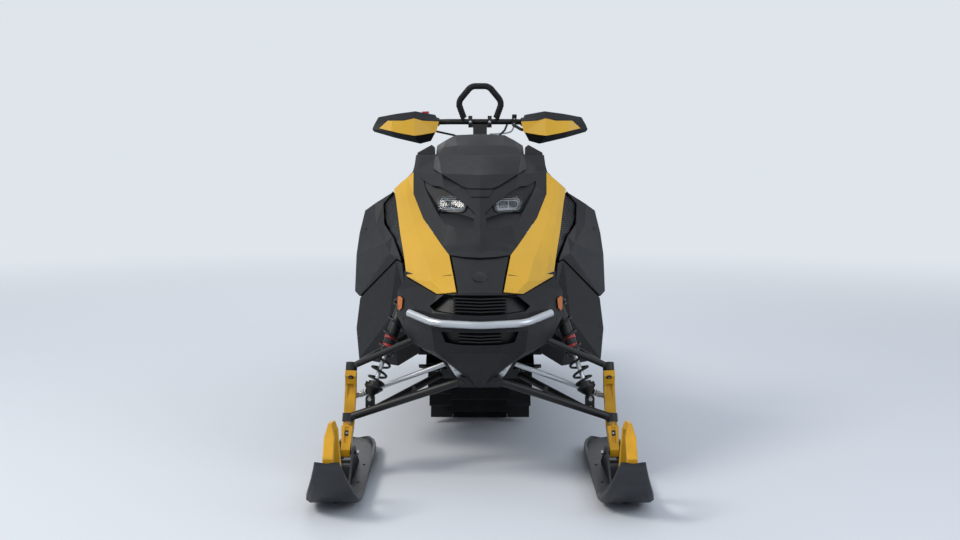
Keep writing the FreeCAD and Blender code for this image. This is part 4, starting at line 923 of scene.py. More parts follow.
def rounded(corners: list[Vector], reach_mm: float) -> list[Vector]:
    """A bent bar's middle line, with its corners rounded.

    Args:
        corners: the ends and corners.
        reach_mm: how far before a corner the bend starts.

    Returns:
        The line's points.
    """
    path = [corners[0]]
    for before, corner, after in zip(corners, corners[1:], corners[2:]):
        a = corner + (before - corner).normalized() * reach_mm * MM
        b = corner + (after - corner).normalized() * reach_mm * MM
        path += [a.lerp(corner, t).lerp(corner.lerp(b, t), t) for t in (0, 0.2, 0.4, 0.6, 0.8, 1.0)]
    return path + [corners[-1]]


@dataclass
class FacetPanel:
    """A moulded panel whose outer face is a net of flat facets."""

    rows: Rows
    both_sides: bool = True
    wall: float = 5.0

    def net(self) -> list[list[Vector]]:
        """The outer face's corners, row by row.

        Returns:
            The rows, from the right edge to the left one where the panel spans both sides.
        """
        rows = []
        for row in self.rows:
            left = [at(*point) for point in row]
            right = [Vector((-p.x, p.y, p.z)) for p in reversed(left) if p.x > 1e-9]
            rows.append(right + left if self.both_sides else left)
        return rows

    def offs(self, net: list[list[Vector]]) -> list[list[Vector]]:
        """The way off the face at each corner.

        Args:
            net: the corners.

        Returns:
            One direction for each corner.
        """
        offs = [[Vector() for _ in row] for row in net]
        for i in range(len(net) - 1):
            for j in range(len(net[0]) - 1):
                a, b, c, d = net[i][j], net[i][j + 1], net[i + 1][j + 1], net[i + 1][j]
                normal = (c - a).cross(d - b).normalized()
                for k, m in ((i, j), (i, j + 1), (i + 1, j + 1), (i + 1, j)):
                    offs[k][m] += normal
        inside = at(*MACHINE_MIDDLE)
        total = sum((p - inside).dot(n) for row, ways in zip(net, offs) for p, n in zip(row, ways))
        return [[n.normalized() * (1 if total > 0 else -1) for n in row] for row in offs]

    def solid(self, proud: float = 0.0, deep: Optional[float] = None) -> Mesh:
        """The panel between two depths of its face.

        Args:
            proud: how far off the face it starts.
            deep: how far behind the face it ends, its wall where none is given.

        Returns:
            The closed mesh.
        """
        net = self.net()
        offs = self.offs(net)
        depth = self.wall if deep is None else deep
        high, wide = len(net), len(net[0])
        shape = Shape()
        for step in (proud, -depth):
            shape.points += [p + n * step * MM for row, ways in zip(net, offs) for p, n in zip(row, ways)]
        for base in (0, high * wide):
            for i in range(high - 1):
                for j in range(wide - 1):
                    a, b, c, d = (base + i * wide + j, base + i * wide + j + 1, base + (i + 1) * wide + j + 1,
                                  base + (i + 1) * wide + j)
                    p = shape.points
                    if (p[a] - p[c]).length < (p[b] - p[d]).length - 1e-6:
                        shape.faces += [(a, b, c), (a, c, d)]
                    else:
                        shape.faces += [(a, b, d), (b, c, d)]
        rim = [*range(wide)] + [i * wide + wide - 1 for i in range(1, high)]
        rim += [(high - 1) * wide + j for j in range(wide - 2, -1, -1)]
        rim += [i * wide for i in range(high - 2, 0, -1)]
        for a, b in zip(rim, rim[1:] + rim[:1]):
            shape.faces.append((a, b, b + high * wide, a + high * wide))
        return shape.mesh("panel")


def both(mesh: Mesh) -> Mesh:
    """A mesh and its mirror on the right, as one.

    Args:
        mesh: the mesh on the left.

    Returns:
        The pair.
    """
    shape = Shape()
    shape.points = [v.co.copy() for v in mesh.vertices]
    shape.faces = [tuple(p.vertices) for p in mesh.polygons]
    shape.mirror()
    return shape.mesh(mesh.name + "_pair")


HOOD = FacetPanel((
    ((0, 556, 774), (58, 564, 776), (105, 590, 781)),
    ((0, 592, 792), (62, 599, 794), (113, 606, 790)),
    ((0, 612, 822), (70, 622, 817), (128, 635, 806)),
    ((0, 690, 905), (105, 705, 900), (200, 785, 893)),
    ((0, 755, 985), (125, 790, 985), (240, 905, 975)),
    ((0, 815, 1040), (135, 850, 1045), (242, 965, 1052)),
    ((0, 950, 1108), (150, 965, 1112), (235, 1010, 1113))))
HOOD_SIDE = FacetPanel((
    ((242, 965, 1052), (266, 960, 1032), (290, 958, 1012), (314, 960, 990)),
    ((240, 905, 975), (263, 896, 962), (285, 898, 955), (303, 905, 948)),
    ((200, 785, 893), (233, 763, 876), (262, 756, 861), (282, 760, 850)),
    ((128, 635, 806), (198, 640, 792), (240, 650, 776), (262, 660, 765)),
    ((105, 590, 781), (184, 590, 766), (232, 606, 740), (255, 625, 725)),
    ((88, 490, 712), (160, 500, 700), (212, 552, 697), (250, 603, 706)),
    ((79, 432, 672), (118, 450, 665), (138, 465, 661), (144, 470, 660))), False)
NOSE = FacetPanel((
    ((0, 432, 668), (82, 437, 666), (144, 470, 657), (200, 540, 680), (252, 604, 701)),
    ((0, 395, 600), (90, 402, 600), (160, 440, 600), (218, 520, 605), (284, 638, 655)),
    ((0, 385, 545), (90, 392, 545), (160, 430, 545), (216, 510, 548), (287, 636, 570)),
    ((0, 400, 470), (85, 408, 470), (150, 450, 470), (200, 530, 470), (247, 638, 484)),
    ((0, 458, 408), (52, 465, 409), (84, 486, 411), (106, 540, 413), (124, 602, 415)),
    ((0, 520, 338), (14, 524, 342), (26, 536, 349), (36, 556, 353), (43, 576, 356))))
SEAM_LINER = FacetPanel((
    ((96, 500, 724), (160, 512, 712), (210, 560, 712), (262, 612, 722)),
    ((96, 462, 655), (140, 478, 648), (204, 552, 664), (262, 620, 680))), False)
NOSE_BRIDGE = FacetPanel((
    ((0, 557, 767), (52, 563, 770), (98, 586, 776)),
    ((0, 492, 716), (44, 493, 714), (82, 497, 712)),
    ((0, 432, 668), (41, 434, 667), (73, 436, 666))))
VISOR = FacetPanel((
    ((0, 962, 1100), (80, 968, 1101), (130, 982, 1102), (161, 1004, 1103)),
    ((0, 1040, 1148), (84, 1044, 1147), (136, 1048, 1140), (162, 1052, 1128)),
    ((0, 1130, 1190), (92, 1122, 1186), (128, 1112, 1167), (160, 1098, 1147))), True, 4.0)
CONSOLE = FacetPanel((
    ((0, 955, 1104), (150, 970, 1107), (232, 1014, 1107), (246, 985, 1052), (312, 968, 986)),
    ((0, 1180, 1085), (150, 1180, 1080), (225, 1180, 1060), (262, 1180, 1012), (300, 1180, 960)),
    ((0, 1300, 1040), (130, 1300, 1030), (200, 1300, 1000), (232, 1300, 968), (262, 1300, 935)),
    ((0, 1398, 985), (105, 1398, 975), (165, 1398, 940), (190, 1398, 926), (215, 1398, 912))))
SIDE_PANEL = FacetPanel((
    ((318, 972, 982), (322, 1040, 976), (314, 1085, 970), (292, 1230, 946), (221, 1400, 909),
     (172, 1490, 884)),
    ((358, 1026, 935), (392, 1044, 932), (430, 1085, 905), (400, 1230, 900), (262, 1400, 895),
     (205, 1490, 870)),
    ((352, 975, 862), (385, 1000, 850), (452, 1090, 820), (430, 1240, 800), (300, 1400, 790),
     (228, 1490, 780)),
    ((316, 880, 822), (343, 905, 796), (465, 1100, 740), (450, 1250, 700), (320, 1400, 690),
     (236, 1490, 680)),
    ((285, 800, 755), (325, 880, 762), (472, 1100, 600), (458, 1250, 600), (330, 1400, 620),
     (240, 1490, 640)),
    ((281, 806, 738), (300, 858, 743), (452, 1070, 584), (455, 1250, 560), (335, 1400, 580),
     (242, 1490, 610))), False)
FOOTWELL = FacetPanel((
    ((238, 824, 735), (278, 812, 732), (300, 864, 737), (450, 1074, 578), (452, 1180, 566),
     (452, 1250, 555)),
    ((224, 864, 560), (262, 850, 560), (330, 905, 520), (466, 1085, 460), (468, 1180, 450),
     (468, 1250, 440)),
    ((196, 894, 400), (215, 885, 400), (300, 915, 345), (452, 1030, 352), (456, 1180, 362),
     (456, 1300, 372))), False)
SIDE_VENT = FacetPanel((
    ((306, 972, 974), (314, 992, 970)), ((293, 914, 940), (354, 1040, 932)),
    ((284, 842, 896), (344, 992, 872)), ((273, 770, 845), (326, 935, 838)),
    ((262, 704, 798), (302, 884, 806)), ((254, 668, 762), (276, 822, 758)),
    ((246, 632, 722), (268, 826, 740))), False, 4.0)
GUARD = FacetPanel((
    ((174, 1372, 1265), (253, 1350, 1279), (328, 1352, 1269), (399, 1372, 1256)),
    ((160, 1338, 1240), (255, 1318, 1250), (342, 1320, 1241), (415, 1354, 1226)),
    ((172, 1332, 1197), (255, 1302, 1184), (342, 1308, 1199), (422, 1350, 1208)),
    ((191, 1345, 1162), (232, 1330, 1151), (331, 1326, 1174), (415, 1352, 1198))), False)


@dataclass
class Hood(Assembly):
    """The black hood: a raised plate over a small step, and a pocket under each brow."""

    title: str = "hood"
    plate: Outline = ((160, 1130), (169, 1066), (108, 1032), (63, 1006), (44, 999))
    step: Outline = ((66, 1012), (52, 1003), (32, 971))
    bezel: float = 6.0
    plate_rise: float = 6.0
    step_rise: float = 3.0
    lamp: Outline = ((69, 920), (132, 920), (142, 925), (146, 935), (146, 952), (142, 962), (132, 967),
                     (69, 967), (59, 962), (55, 952), (55, 935), (59, 925))
    # The pocket from the brow down to its lower lip: x, height, depth behind the hood's face.
    eye: Rows = (
        ((16, 914, 2), (40, 938, 2), (70, 960, 2), (111, 990, 2), (143, 1006, 2), (172, 1007, 2),
         (203, 1023, 2)),
        ((18, 910, 18), (41, 934, 20), (71, 956, 22), (111, 986, 24), (143, 1002, 24), (171, 1003, 16),
         (202, 1019, 6)),
        ((20, 896, 24), (46, 905, 38), (76, 911, 46), (113, 913, 50), (141, 922, 44), (169, 962, 26),
         (201, 1008, 6)),
        ((24, 868, 2), (55, 864, 2), (90, 870, 2), (121, 877, 2), (140, 896, 2), (168, 940, 2),
         (200, 1000, 2)))
    # Where the cutting prisms start and end, in millimetres behind the tips.
    cut: Pair = (450.0, 1150.0)
    lamp_cut: Pair = (440.0, 1160.0)

    def pocket(self) -> FacetPanel:
        """Lays out the pocket's own panel, set back from the hood's face.

        Returns:
            The panel.
        """
        face = Skin(HOOD.solid())
        rows = []
        for row in self.eye:
            found = [face.meet(at(x, 0, z), BACK) for x, z, _ in row]
            rows.append(tuple((x, hit[0].y / MM + TIPS_TO_ORIGIN + depth, z)
                              for (x, z, depth), hit in zip(row, found) if hit))
        return FacetPanel(tuple(rows), False, 4.0)

    def build(self) -> list[Object]:
        """Builds the hood, its pockets and the lamps' bezels.

        Returns:
            The pieces.
        """
        mesh = HOOD.solid()
        for half, rise in ((self.plate, self.plate_rise), (self.step, self.step_rise)):
            proud = combine(HOOD.solid(rise, 2.0), front_prism(whole(half), *self.cut), "INTERSECT")
            mesh = combine(mesh, proud, "UNION")
        opening = tuple((x, z) for x, z, _ in self.eye[0] + self.eye[-1][::-1])
        mesh = combine(mesh, both(front_prism(grown(opening, -1.5), *self.cut)), "DIFFERENCE")
        pocket = self.pocket()
        socket = combine(pocket.solid(), front_prism(self.lamp, *self.cut), "DIFFERENCE")
        ring = combine(front_prism(grown(self.lamp, self.bezel), *self.cut),
                       front_prism(self.lamp, *self.lamp_cut), "DIFFERENCE")
        bezel = combine(pocket.solid(6.0, 1.0), ring, "INTERSECT")
        return [self.mould("hood_skin", mesh, HOOD_BLACK, "hood", 1.8, 12.0, "hood"),
                self.mould("lamp_pockets", both(socket), HOOD_BLACK, "hood", 1.5, 14.0),
                self.mould("lamp_bezels", both(bezel), LAMP_HOUSING, "headlights", 0.8, 25.0)]


@dataclass
class Nose(Assembly):
    """The nose round both grilles, with its chin, slats, reflectors, bumper and plates."""

    title: str = "nose"
    chin: Outline = ((168, 614), (60, 594), (0, 590), (0, 578), (60, 582), (160, 600))
    # Each grille: the left half of its opening, its slats' heights and half their length.
    grille_table: tuple = (
        (((0, 660), (120, 660), (168, 620), (150, 606), (60, 598), (0, 596)), (650, 640, 630, 620, 610),
         88.0),
        (((0, 542), (128, 542), (114, 506), (60, 499), (0, 499)), (532, 521.5, 511), 70.0))
    slat: float = 4.0
    slat_drop: float = 3.0
    grille_depth: float = 28.0
    reflector: Outline = ((264, 630), (274, 637), (283, 632), (283, 594), (277, 587), (267, 598))
    bumper_radius: float = 13.0
    stay_radius: float = 9.0
    bumper: tuple = ((237, 480, 596), (149, 390, 573), (0, 370, 568), (-149, 390, 573), (-237, 480, 596))
    plate: Outline = ((121, 422), (50, 371), (64, 360), (82, 360))
    plate_wall: float = 7.0
    plate_bolt: Pair = (82.4, 388.0)
    plate_rivet: Pair = (105.0, 404.0)
    notch: Outline = ((124, 427), (44, 371), (56, 330), (160, 330), (160, 427))
    disc_radius: float = 26.0
    disc_height: float = 716.0
    # Where the cutting prisms start and end, in millimetres behind the tips.
    cut: Pair = (300.0, 700.0)
    tray_cut: Pair = (290.0, 710.0)
    notch_cut: Pair = (300.0, 800.0)
    reflector_cut: Pair = (400.0, 800.0)

    def shell(self) -> Object:
        """Moulds the nose with its chin and its openings.

        Returns:
            The nose.
        """
        mesh = NOSE.solid()
        chin = combine(NOSE.solid(7.0, 2.0), front_prism(whole(self.chin), *self.cut), "INTERSECT")
        mesh = combine(mesh, chin, "UNION")
        for half, _, _ in self.grille_table:
            mesh = combine(mesh, front_prism(whole(half), *self.cut), "DIFFERENCE")
        mesh = combine(mesh, both(front_prism(self.notch, *self.notch_cut)), "DIFFERENCE")
        return self.mould("nose_skin", mesh, BODY_BLACK, "nose_panel", 2.0, 14.0, "nose_panel")

    def grilles(self) -> Object:
        """Sets a tray with level slats behind each opening.

        Returns:
            The grilles.
        """
        face, shape = Skin(NOSE.solid()), Shape()
        for half, heights, reach in self.grille_table:
            tray = combine(NOSE.solid(-4.0, self.grille_depth), front_prism(whole(half), *self.cut),
                           "INTERSECT")
            hollow = combine(NOSE.solid(9.0, self.grille_depth - 4),
                             front_prism(whole(half), *self.tray_cut), "INTERSECT")
            inner = combine(tray, hollow, "DIFFERENCE")
            base = len(shape.points)
            shape.points += [v.co.copy() for v in inner.vertices]
            shape.faces += [tuple(base + k for k in p.vertices) for p in inner.polygons]
            for z in heights:
                rings = []
                for k in range(-6, 7):
                    x = reach * k / 6
                    drop = self.slat_drop * (1 - abs(k) / 6)
                    y = face.meet(at(x, 0, z), BACK)[0].y / MM + TIPS_TO_ORIGIN
                    rings.append([at(x, y + near, z - drop + tall) for near, tall in
                                  ((3, -self.slat / 2), (self.grille_depth - 2, -self.slat / 2),
                                   (self.grille_depth - 2, self.slat / 2), (3, self.slat / 2))])
                shape.skin(rings)
        return self.mould("grille_slats", shape.mesh("grilles"), GRILLE_BLACK, "grilles", 0.8, 30.0,
                          "grilles")

    def bar(self) -> Object:
        """Bends the bumper's tube and its stays.

        Returns:
            The bumper.
        """
        shape = Shape()
        shape.tube(rounded([at(*p) for p in self.bumper], 34), self.bumper_radius, 24)
        for x in (-70, 70):
            shape.tube([at(x, 376, 570), at(x, 420, 570)], self.stay_radius, 16)
        for side in (1, -1):
            shape.tube([at(side * 235, 478, 595), at(side * 232, 560, 590)], self.stay_radius, 16)
        return self.mould("bumper_tube", shape.mesh("bumper"), SATIN_METAL, "front_bumper", 1.5, 60.0,
                          "front_bumper")

    def plates(self) -> list[Object]:
        """Bolts the bare plates over the front pivots.

        Returns:
            The plates and their bolts.
        """
        found = Skin(clean_copy("front_bulkhead")).meet(at(self.plate_bolt[0], 100, self.plate_bolt[1]), BACK)
        seat = found[0].y / MM + TIPS_TO_ORIGIN
        shape, face = Shape(), seat - self.plate_wall
        for (x, z), kind, size in ((self.plate_bolt, Fastener.HEX, 6.5),
                                   (self.plate_rivet, Fastener.RIVET, 3.5)):
            shape.fasten(kind, at(x, face + 0.2, z), AHEAD, size)
        return [self.mould("pivot_plates", both(front_prism(self.plate, face, seat + 0.5)), SATIN_METAL,
                           "bulkhead", 0.8, 30.0),
                *self.add_pairs((("pivot_plate_bolts", shape, BOLT_STEEL),), "bulkhead")]

    def disc(self) -> Object:
        """Turns the plain disc on the nose.

        Returns:
            The disc.
        """
        shape, r = Shape(), self.disc_radius
        place, off = Skin(NOSE_BRIDGE.solid()).meet(at(0, 200, self.disc_height), BACK)
        shape.turned(place, off, [(r, -1.5), (r, 1.0), (r - 1, 2.0), (r - 3.2, 2.2), (r - 3.8, 1.3),
                                  (r - 6, 1.3), (r - 8, 1.9), (4, 2.6), (0.4, 2.7)], 48)
        return self.add("nose_disc", shape, GLOSS_BLACK, "chassis", "nose_panel")

    def build(self) -> list[Object]:
        """Builds the nose and what it carries.

        Returns:
            The pieces.
        """
        lenses = both(combine(NOSE.solid(5.0, 2.0), front_prism(self.reflector, *self.reflector_cut),
                              "INTERSECT"))
        liner = both(SEAM_LINER.solid(-4.0, 8.0))
        return [self.shell(),
                self.mould("nose_bridge", NOSE_BRIDGE.solid(), HOOD_BLACK, "nose_panel", 1.5, 14.0),
                self.mould("nose_seam_liner", liner, GRILLE_BLACK, "nose_panel", 1.0, 25.0),
                self.grilles(), self.bar(), self.disc(),
                self.mould("reflector_lenses", lenses, AMBER_LENS, "reflectors", 1.2, 28.0, "reflectors"),
                *self.plates()]


@dataclass
class Bodywork(Assembly):
    """The yellow sides, the side panels, the toe boxes, the visor, the console and the vents."""

    title: str = "bodywork"
    rows: tuple = (("display", BODY_BLACK, "display", 2.0), ("belly_pan", BODY_BLACK, "belly_pan", 1.5))
    ear_front: Outline = ((230, 1070), (230, 1121), (178, 1150), (166, 1140), (166, 1070))
    ear_side: Outline = ((1002, 1098), (1008, 1124), (1022, 1152), (1036, 1152), (1122, 1086), (1122, 1072))
    mesh_cell: float = 15.0
    mesh_wire: float = 1.9
    mesh_reach: float = 14.0

    def panels(self) -> list[Object]:
        """Moulds the panels, each in the place of its node, then the ears and the near black sheets of
        painted shade under the vents' mesh.

        Returns:
            The panels.
        """
        made = []
        for node, name, mesh, finish, edge in (
                ("hood_sides", "hood_sides_skin", both(HOOD_SIDE.solid()), BODY_YELLOW, 2.0),
                ("side_panels", "side_panels_skin", both(SIDE_PANEL.solid()), HOOD_BLACK, 3.0),
                ("footwells", "footwells_skin", both(FOOTWELL.solid()), BODY_BLACK, 3.0),
                ("windshield", "visor_skin", VISOR.solid(), SMOKED, 1.5),
                ("console", "console_skin", CONSOLE.solid(), BODY_BLACK, 3.0)):
            made.append(self.mould(name, mesh, finish, node, edge, 12.0, node))
        ears = combine(front_prism(self.ear_front, 980, 1130), side_prism(self.ear_side, 150, 240),
                       "INTERSECT")
        return made + [self.mould("console_ears", both(ears), HOOD_BLACK, "console", 2.0, 16.0),
                       # Painted shade: a near black sheet under each vent's mesh stands in for the shaded
                       # opening behind it.
                       self.mould("side_vents", both(SIDE_VENT.solid()), VENT_SHADE, "side_panels", 1.2,
                                  20.0)]

    def vent_mesh(self) -> Object:
        """Weaves the diamond mesh over the two side vents.

        Returns:
            The mesh's piece.
        """
        skin, shape = Skin(SIDE_VENT.solid()), Shape()
        way = Vector((-0.7, 0.7, -0.12)).normalized()
        across = Vector((0.7, 0.7, 0)).normalized()
        middle = at(318, 880, 850) - way * 0.2
        for lean in (-1, 1):
            for k in range(-26, 27):
                runs: list[list[Vector]] = [[]]
                for step in range(-30, 31):
                    along = step * 5.0
                    rise = k * self.mesh_cell + lean * along
                    found = skin.meet(middle + (across * along + Vector((0, 0, rise))) * MM, way)
                    last = runs[-1]
                    if found and found[1].dot(way) < -0.25 and (
                            not last or (found[0] - last[-1]).length < self.mesh_reach * MM):
                        last.append(found[0] + found[1] * 0.4 * MM)
                    else:
                        runs.append([])
                for run in runs:
                    if len(run) > 2:
                        shape.tube(run, self.mesh_wire, 5)
        return self.add_pairs((("side_vent_mesh", shape, WIRE_BLACK),), "side_panels")[0]

    def fasteners(self) -> list[Object]:
        """Sets the clips and screws that hold the panels.

        Returns:
            Their pieces.
        """
        made = []
        for node, face, kind, size, way, places in (
                ("side_panels", SIDE_PANEL, Fastener.CLIP, 8.0, TO_RIGHT,
                 ((900, 1060, 840), (900, 1130, 600))),
                ("footwells", FOOTWELL, Fastener.CLIP, 7.0, TO_RIGHT,
                 ((900, 1150, 470), (900, 1060, 430), (900, 1230, 520))),
                ("hood", HOOD, Fastener.BUTTON, 4.0, DOWN, ((150, 1010, 1500), (120, 1040, 1500))),
                ("nose_panel", NOSE, Fastener.CLIP, 6.0, Vector((-0.6, 0.8, 0)),
                 ((620, 250, 640), (600, 150, 560))),
                ("belly_pan", None, Fastener.CLIP, 6.5, UP,
                 ((60, 640, 50), (60, 760, 50), (60, 880, 50), (120, 960, 50)))):
            shape, skin = Shape(), Skin(face.solid() if face else clean_copy(node))
            for place in places:
                self.pin(shape, skin, kind, at(*place), way, size)
            if shape.points:
                made += self.add_pairs(((node + "_fasteners", shape, DARK_BOLT),), node)
        return made

    def display_face(self) -> list[Object]:
        """Lays the display's glass and its row of keys.

        Returns:
            The glass and the keys.
        """
        low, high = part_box("display")
        skin = Skin(clean_copy("display"))
        way = Vector((0, -0.75, -0.66))
        middle, off = skin.meet(Vector((0, (low[1] + high[1]) / 2, (low[2] + high[2]) / 2)) - way * 0.3, way)
        up = off.cross(TO_LEFT).normalized()
        half = (high[0] - low[0]) / 2 / MM
        glass, keys = Shape(), Shape()
        glass.wedge_box(middle + up * 0.004 - off * 0.0005, TO_LEFT, up, off, (half * 1.66, 56, 1.8), 0.985)
        for k in (-1.5, -0.5, 0.5, 1.5):
            foot = middle + TO_LEFT * k * half * 0.36 * MM - up * 0.031 - off * 0.0005
            keys.wedge_box(foot, TO_LEFT, up, off, (half * 0.26, 8, 2.4), 0.85)
        return [self.add("display_glass", glass, GLOSS_BLACK, "chassis", "display"),
                self.add("display_keys", keys, GRIP_RUBBER, "chassis", "display")]

    def build(self) -> list[Object]:
        """Builds the panels and what is on them."""
        return [*super().build(), *self.panels(), self.vent_mesh(), *self.display_face(), *self.fasteners()]


@dataclass
class Lamps(Assembly):
    """The two front lamps in the hood: housing, light rings, two modules and the lens."""

    title: str = "lamps"
    middle: Pair = (100.5, 943.5)
    half: Pair = (45.5, 23.5)
    chamfer: float = 0.62
    ring_wire: float = 2.0

    def __post_init__(self) -> None:
        """Finds the plane of the lamp's face in the hood's pocket."""
        skin = Skin(Hood().pocket().solid())
        x, z = self.middle
        hits = [skin.meet(at(x + a * 30, 0, z + b * 14), BACK) for a, b in
                ((0, 0), (1, 0), (-1, 0), (0, 1), (0, -1))]
        found = [hit for hit in hits if hit]
        self.face = sum((hit[0] for hit in found), Vector()) / len(found)
        self.off = sum((hit[1] for hit in found), Vector()).normalized()

    def place(self, a: float, b: float, depth: float) -> Vector:
        """A place in the lamp.

        Args:
            a: sideways from its middle, in shares of its half width.
            b: upwards, in shares of its half height.
            depth: how deep behind the face, in millimetres.

        Returns:
            The place.
        """
        start = at(self.middle[0] + a * self.half[0], 0, self.middle[1] + b * self.half[1])
        reach = (self.face - start).dot(self.off) / self.off.y
        return start + Vector((0, reach, 0)) - self.off * depth * MM

    def outline(self, grow_mm: float, depth: float) -> list[Vector]:
        """The lamp's rounded outline.

        Args:
            grow_mm: how far outside the lamp's own outline.
            depth: how deep behind the face.

        Returns:
            Its points.
        """
        wide, high = self.half[0] + grow_mm, self.half[1] + grow_mm
        corner, points = high * self.chamfer, []
        for sx, sz, first in ((1, 1, 0), (-1, 1, 90), (-1, -1, 180), (1, -1, 270)):
            for k in range(5):
                t = math.radians(first + k * 22.5)
                points.append(self.place((sx * (wide - corner) + corner * math.cos(t)) / self.half[0],
                                         (sz * (high - corner) + corner * math.sin(t)) / self.half[1], depth))
        return points

    def build(self) -> list[Object]:
        """Builds the lamps: shell, light guides, modules and lens.

        Returns:
            The pieces.
        """
        shell, rings, modules, lens = Shape(), Shape(), Shape(), Shape()
        shell.skin([self.outline(*edge) for edge in ((-4, 17), (-0.5, 12), (-0.5, 0.2), (-2, 0.1), (-3.5, 5),
                                                     (-7, 12))])
        rings.tube(self.outline(-4.2, 1.8), self.ring_wire, 8, looped=True)
        rings.tube(self.outline(-10.5, 4.5), self.ring_wire * 0.9, 8, looped=True)
        rings.tube([self.place(0.02, b, 4.5) for b in (-0.5, 0, 0.5)], self.ring_wire * 0.7, 8)
        for k in range(5):
            modules.tube([self.place(a, -0.4 + 0.2 * k, 5.5) for a in (0.1, 0.35, 0.66)], 1.3, 6)
        for k in range(4):
            modules.tube([self.place(0.14 + 0.16 * k, b, 7) for b in (-0.42, 0, 0.42)], 0.9, 6)
        modules.turned(self.place(-0.36, 0, 9), self.off, [(12, -2), (12, 3.4), (11, 3.6), (8.5, 0.6),
                                                           (6.2, 0.3), (5.8, 2.2), (3, 3.6), (0.4, 4.0)], 12)
        lens.skin([self.outline(-2.4, 0.9), self.outline(-2.2, 0.2), self.outline(-3.4, -0.4)])
        made = self.add_pairs((
            ("lamp_housings", shell, LAMP_HOUSING), ("lamp_light_guides", rings, LIGHT_GUIDE),
            ("lamp_modules", modules, LAMP_CHROME), ("lamp_lenses", lens, LAMP_LENS)), "headlights")
        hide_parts("headlights")
        return made


# Springs and dampers

@dataclass
class CoilOver:
    """A damper inside its coil spring, from its lower eye to its upper one."""

    low: Vector
    high: Vector
    eye_axis: Vector
    shaft: float = 8.0
    can: float = 21.0
    coil: float = 29.0
    wire: float = 4.5
    turns: float = 7.0
    spread: float = 1.3
    coil_from: float = 0.125
    coil_to: float = 0.88
    can_from: float = 0.42

    def turn(self, shape: Shape, profile: list[Pair], sides: int = 24) -> None:
        """Turns a form about the damper from radii in millimetres and shares of its length."""
        length = (self.high - self.low).length / MM
        shape.turned(self.low, self.high - self.low, [(r, t * length) for r, t in profile], sides)

    def rod(self, shape: Shape) -> None:
        """Adds the polished rod."""
        self.turn(shape, [(self.shaft, 0.03), (self.shaft, self.can_from + 0.03)], 20)

    def dark_parts(self, shape: Shape) -> None:
        """Adds the spring seats, the can and the eyes.

        Args:
            shape: the shape that gets them.
        """
        wide, top = self.coil + self.wire, self.coil_to
        self.turn(shape, [(self.shaft + 4, 0.03), (self.shaft + 6, 0.045), (wide * 0.62, 0.06), (wide, 0.098),
                          (wide, 0.112), (wide * 0.72, 0.116), (wide * 0.7, 0.15), (self.shaft + 1, 0.16)])
        self.turn(shape, [(self.shaft + 1, self.can_from), (self.can - 3, self.can_from + 0.005),
                          (self.can, self.can_from + 0.02), (self.can, 0.93), (self.can - 5, 0.955),
                          (self.can - 8, 0.985)])
        self.turn(shape, [(self.can, top + 0.004), (wide * 0.96, top + 0.012), (wide, top + 0.02),
                          (wide, top + 0.036), (wide * 0.9, top + 0.044), (self.can, top + 0.05)])
        for end, size, width in ((self.low, 15.0, 32.0), (self.high, 15.0, 36.0)):
            half = self.eye_axis.normalized() * width / 2 * MM
            shape.turned(end - half, self.eye_axis, [(size - 1.5, 0), (size, 1.5), (size, width - 1.5),
                                                     (size - 1.5, width)], 24)

    def bright_parts(self, shape: Shape) -> None:
        """Adds the bolts through the eyes.

        Args:
            shape: the shape that gets them.
        """
        for end, width in ((self.low, 32.0), (self.high, 36.0)):
            for way in (1, -1):
                axis = self.eye_axis.normalized() * way
                shape.fasten(Fastener.HEX, end + axis * (width / 2 + 0.2) * MM, axis, 8.0)

    def red_parts(self, shape: Shape) -> None:
        """Adds the two threaded collars on the can.

        Args:
            shape: the shape that gets them.
        """
        for start in (0.47, 0.555):
            self.turn(shape, [(self.can, start), (self.can + 2.4, start + 0.004),
                              (self.can + 2.4, start + 0.03), (self.can, start + 0.034)], 18)

    def spring(self, shape: Shape) -> None:
        """Winds the spring from round wire, close at its foot and wider above.

        Args:
            shape: the shape that gets it.
        """
        axis = self.high - self.low
        first, second = square_to(axis)
        count = int(self.turns * 20)
        path = []
        for k in range(count + 1):
            share = k / count
            t = self.coil_from + (self.coil_to - self.coil_from) * share ** self.spread
            turn = 2 * math.pi * self.turns * share
            out = first * math.cos(turn) + second * math.sin(turn)
            path.append(self.low + axis * t + out * self.coil * MM)
        shape.tube(path, self.wire, 8)


def hang_shocks(part: Assembly, node: str, shocks: list[CoilOver], paired: bool,
                rows: tuple[tuple[str, Callable[[CoilOver, Shape], None], Finish], ...]) -> list[Object]:
    """Builds a node's shocks as one piece for each finish.

    Args:
        part: the sub-assembly they belong to.
        node: the node that they stand for.
        shocks: the shocks.
        paired: True where each has its mirror on the right.
        rows: each piece's name, the method that shapes it and its finish.

    Returns:
        The pieces.
    """
    made = []
    for name, form, finish in rows:
        shape = Shape()
        for shock in shocks:
            form(shock, shape)
        if paired:
            shape.mirror()
        made.append(part.add(name, shape, finish, "chassis", node))
    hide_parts(node)
    return made


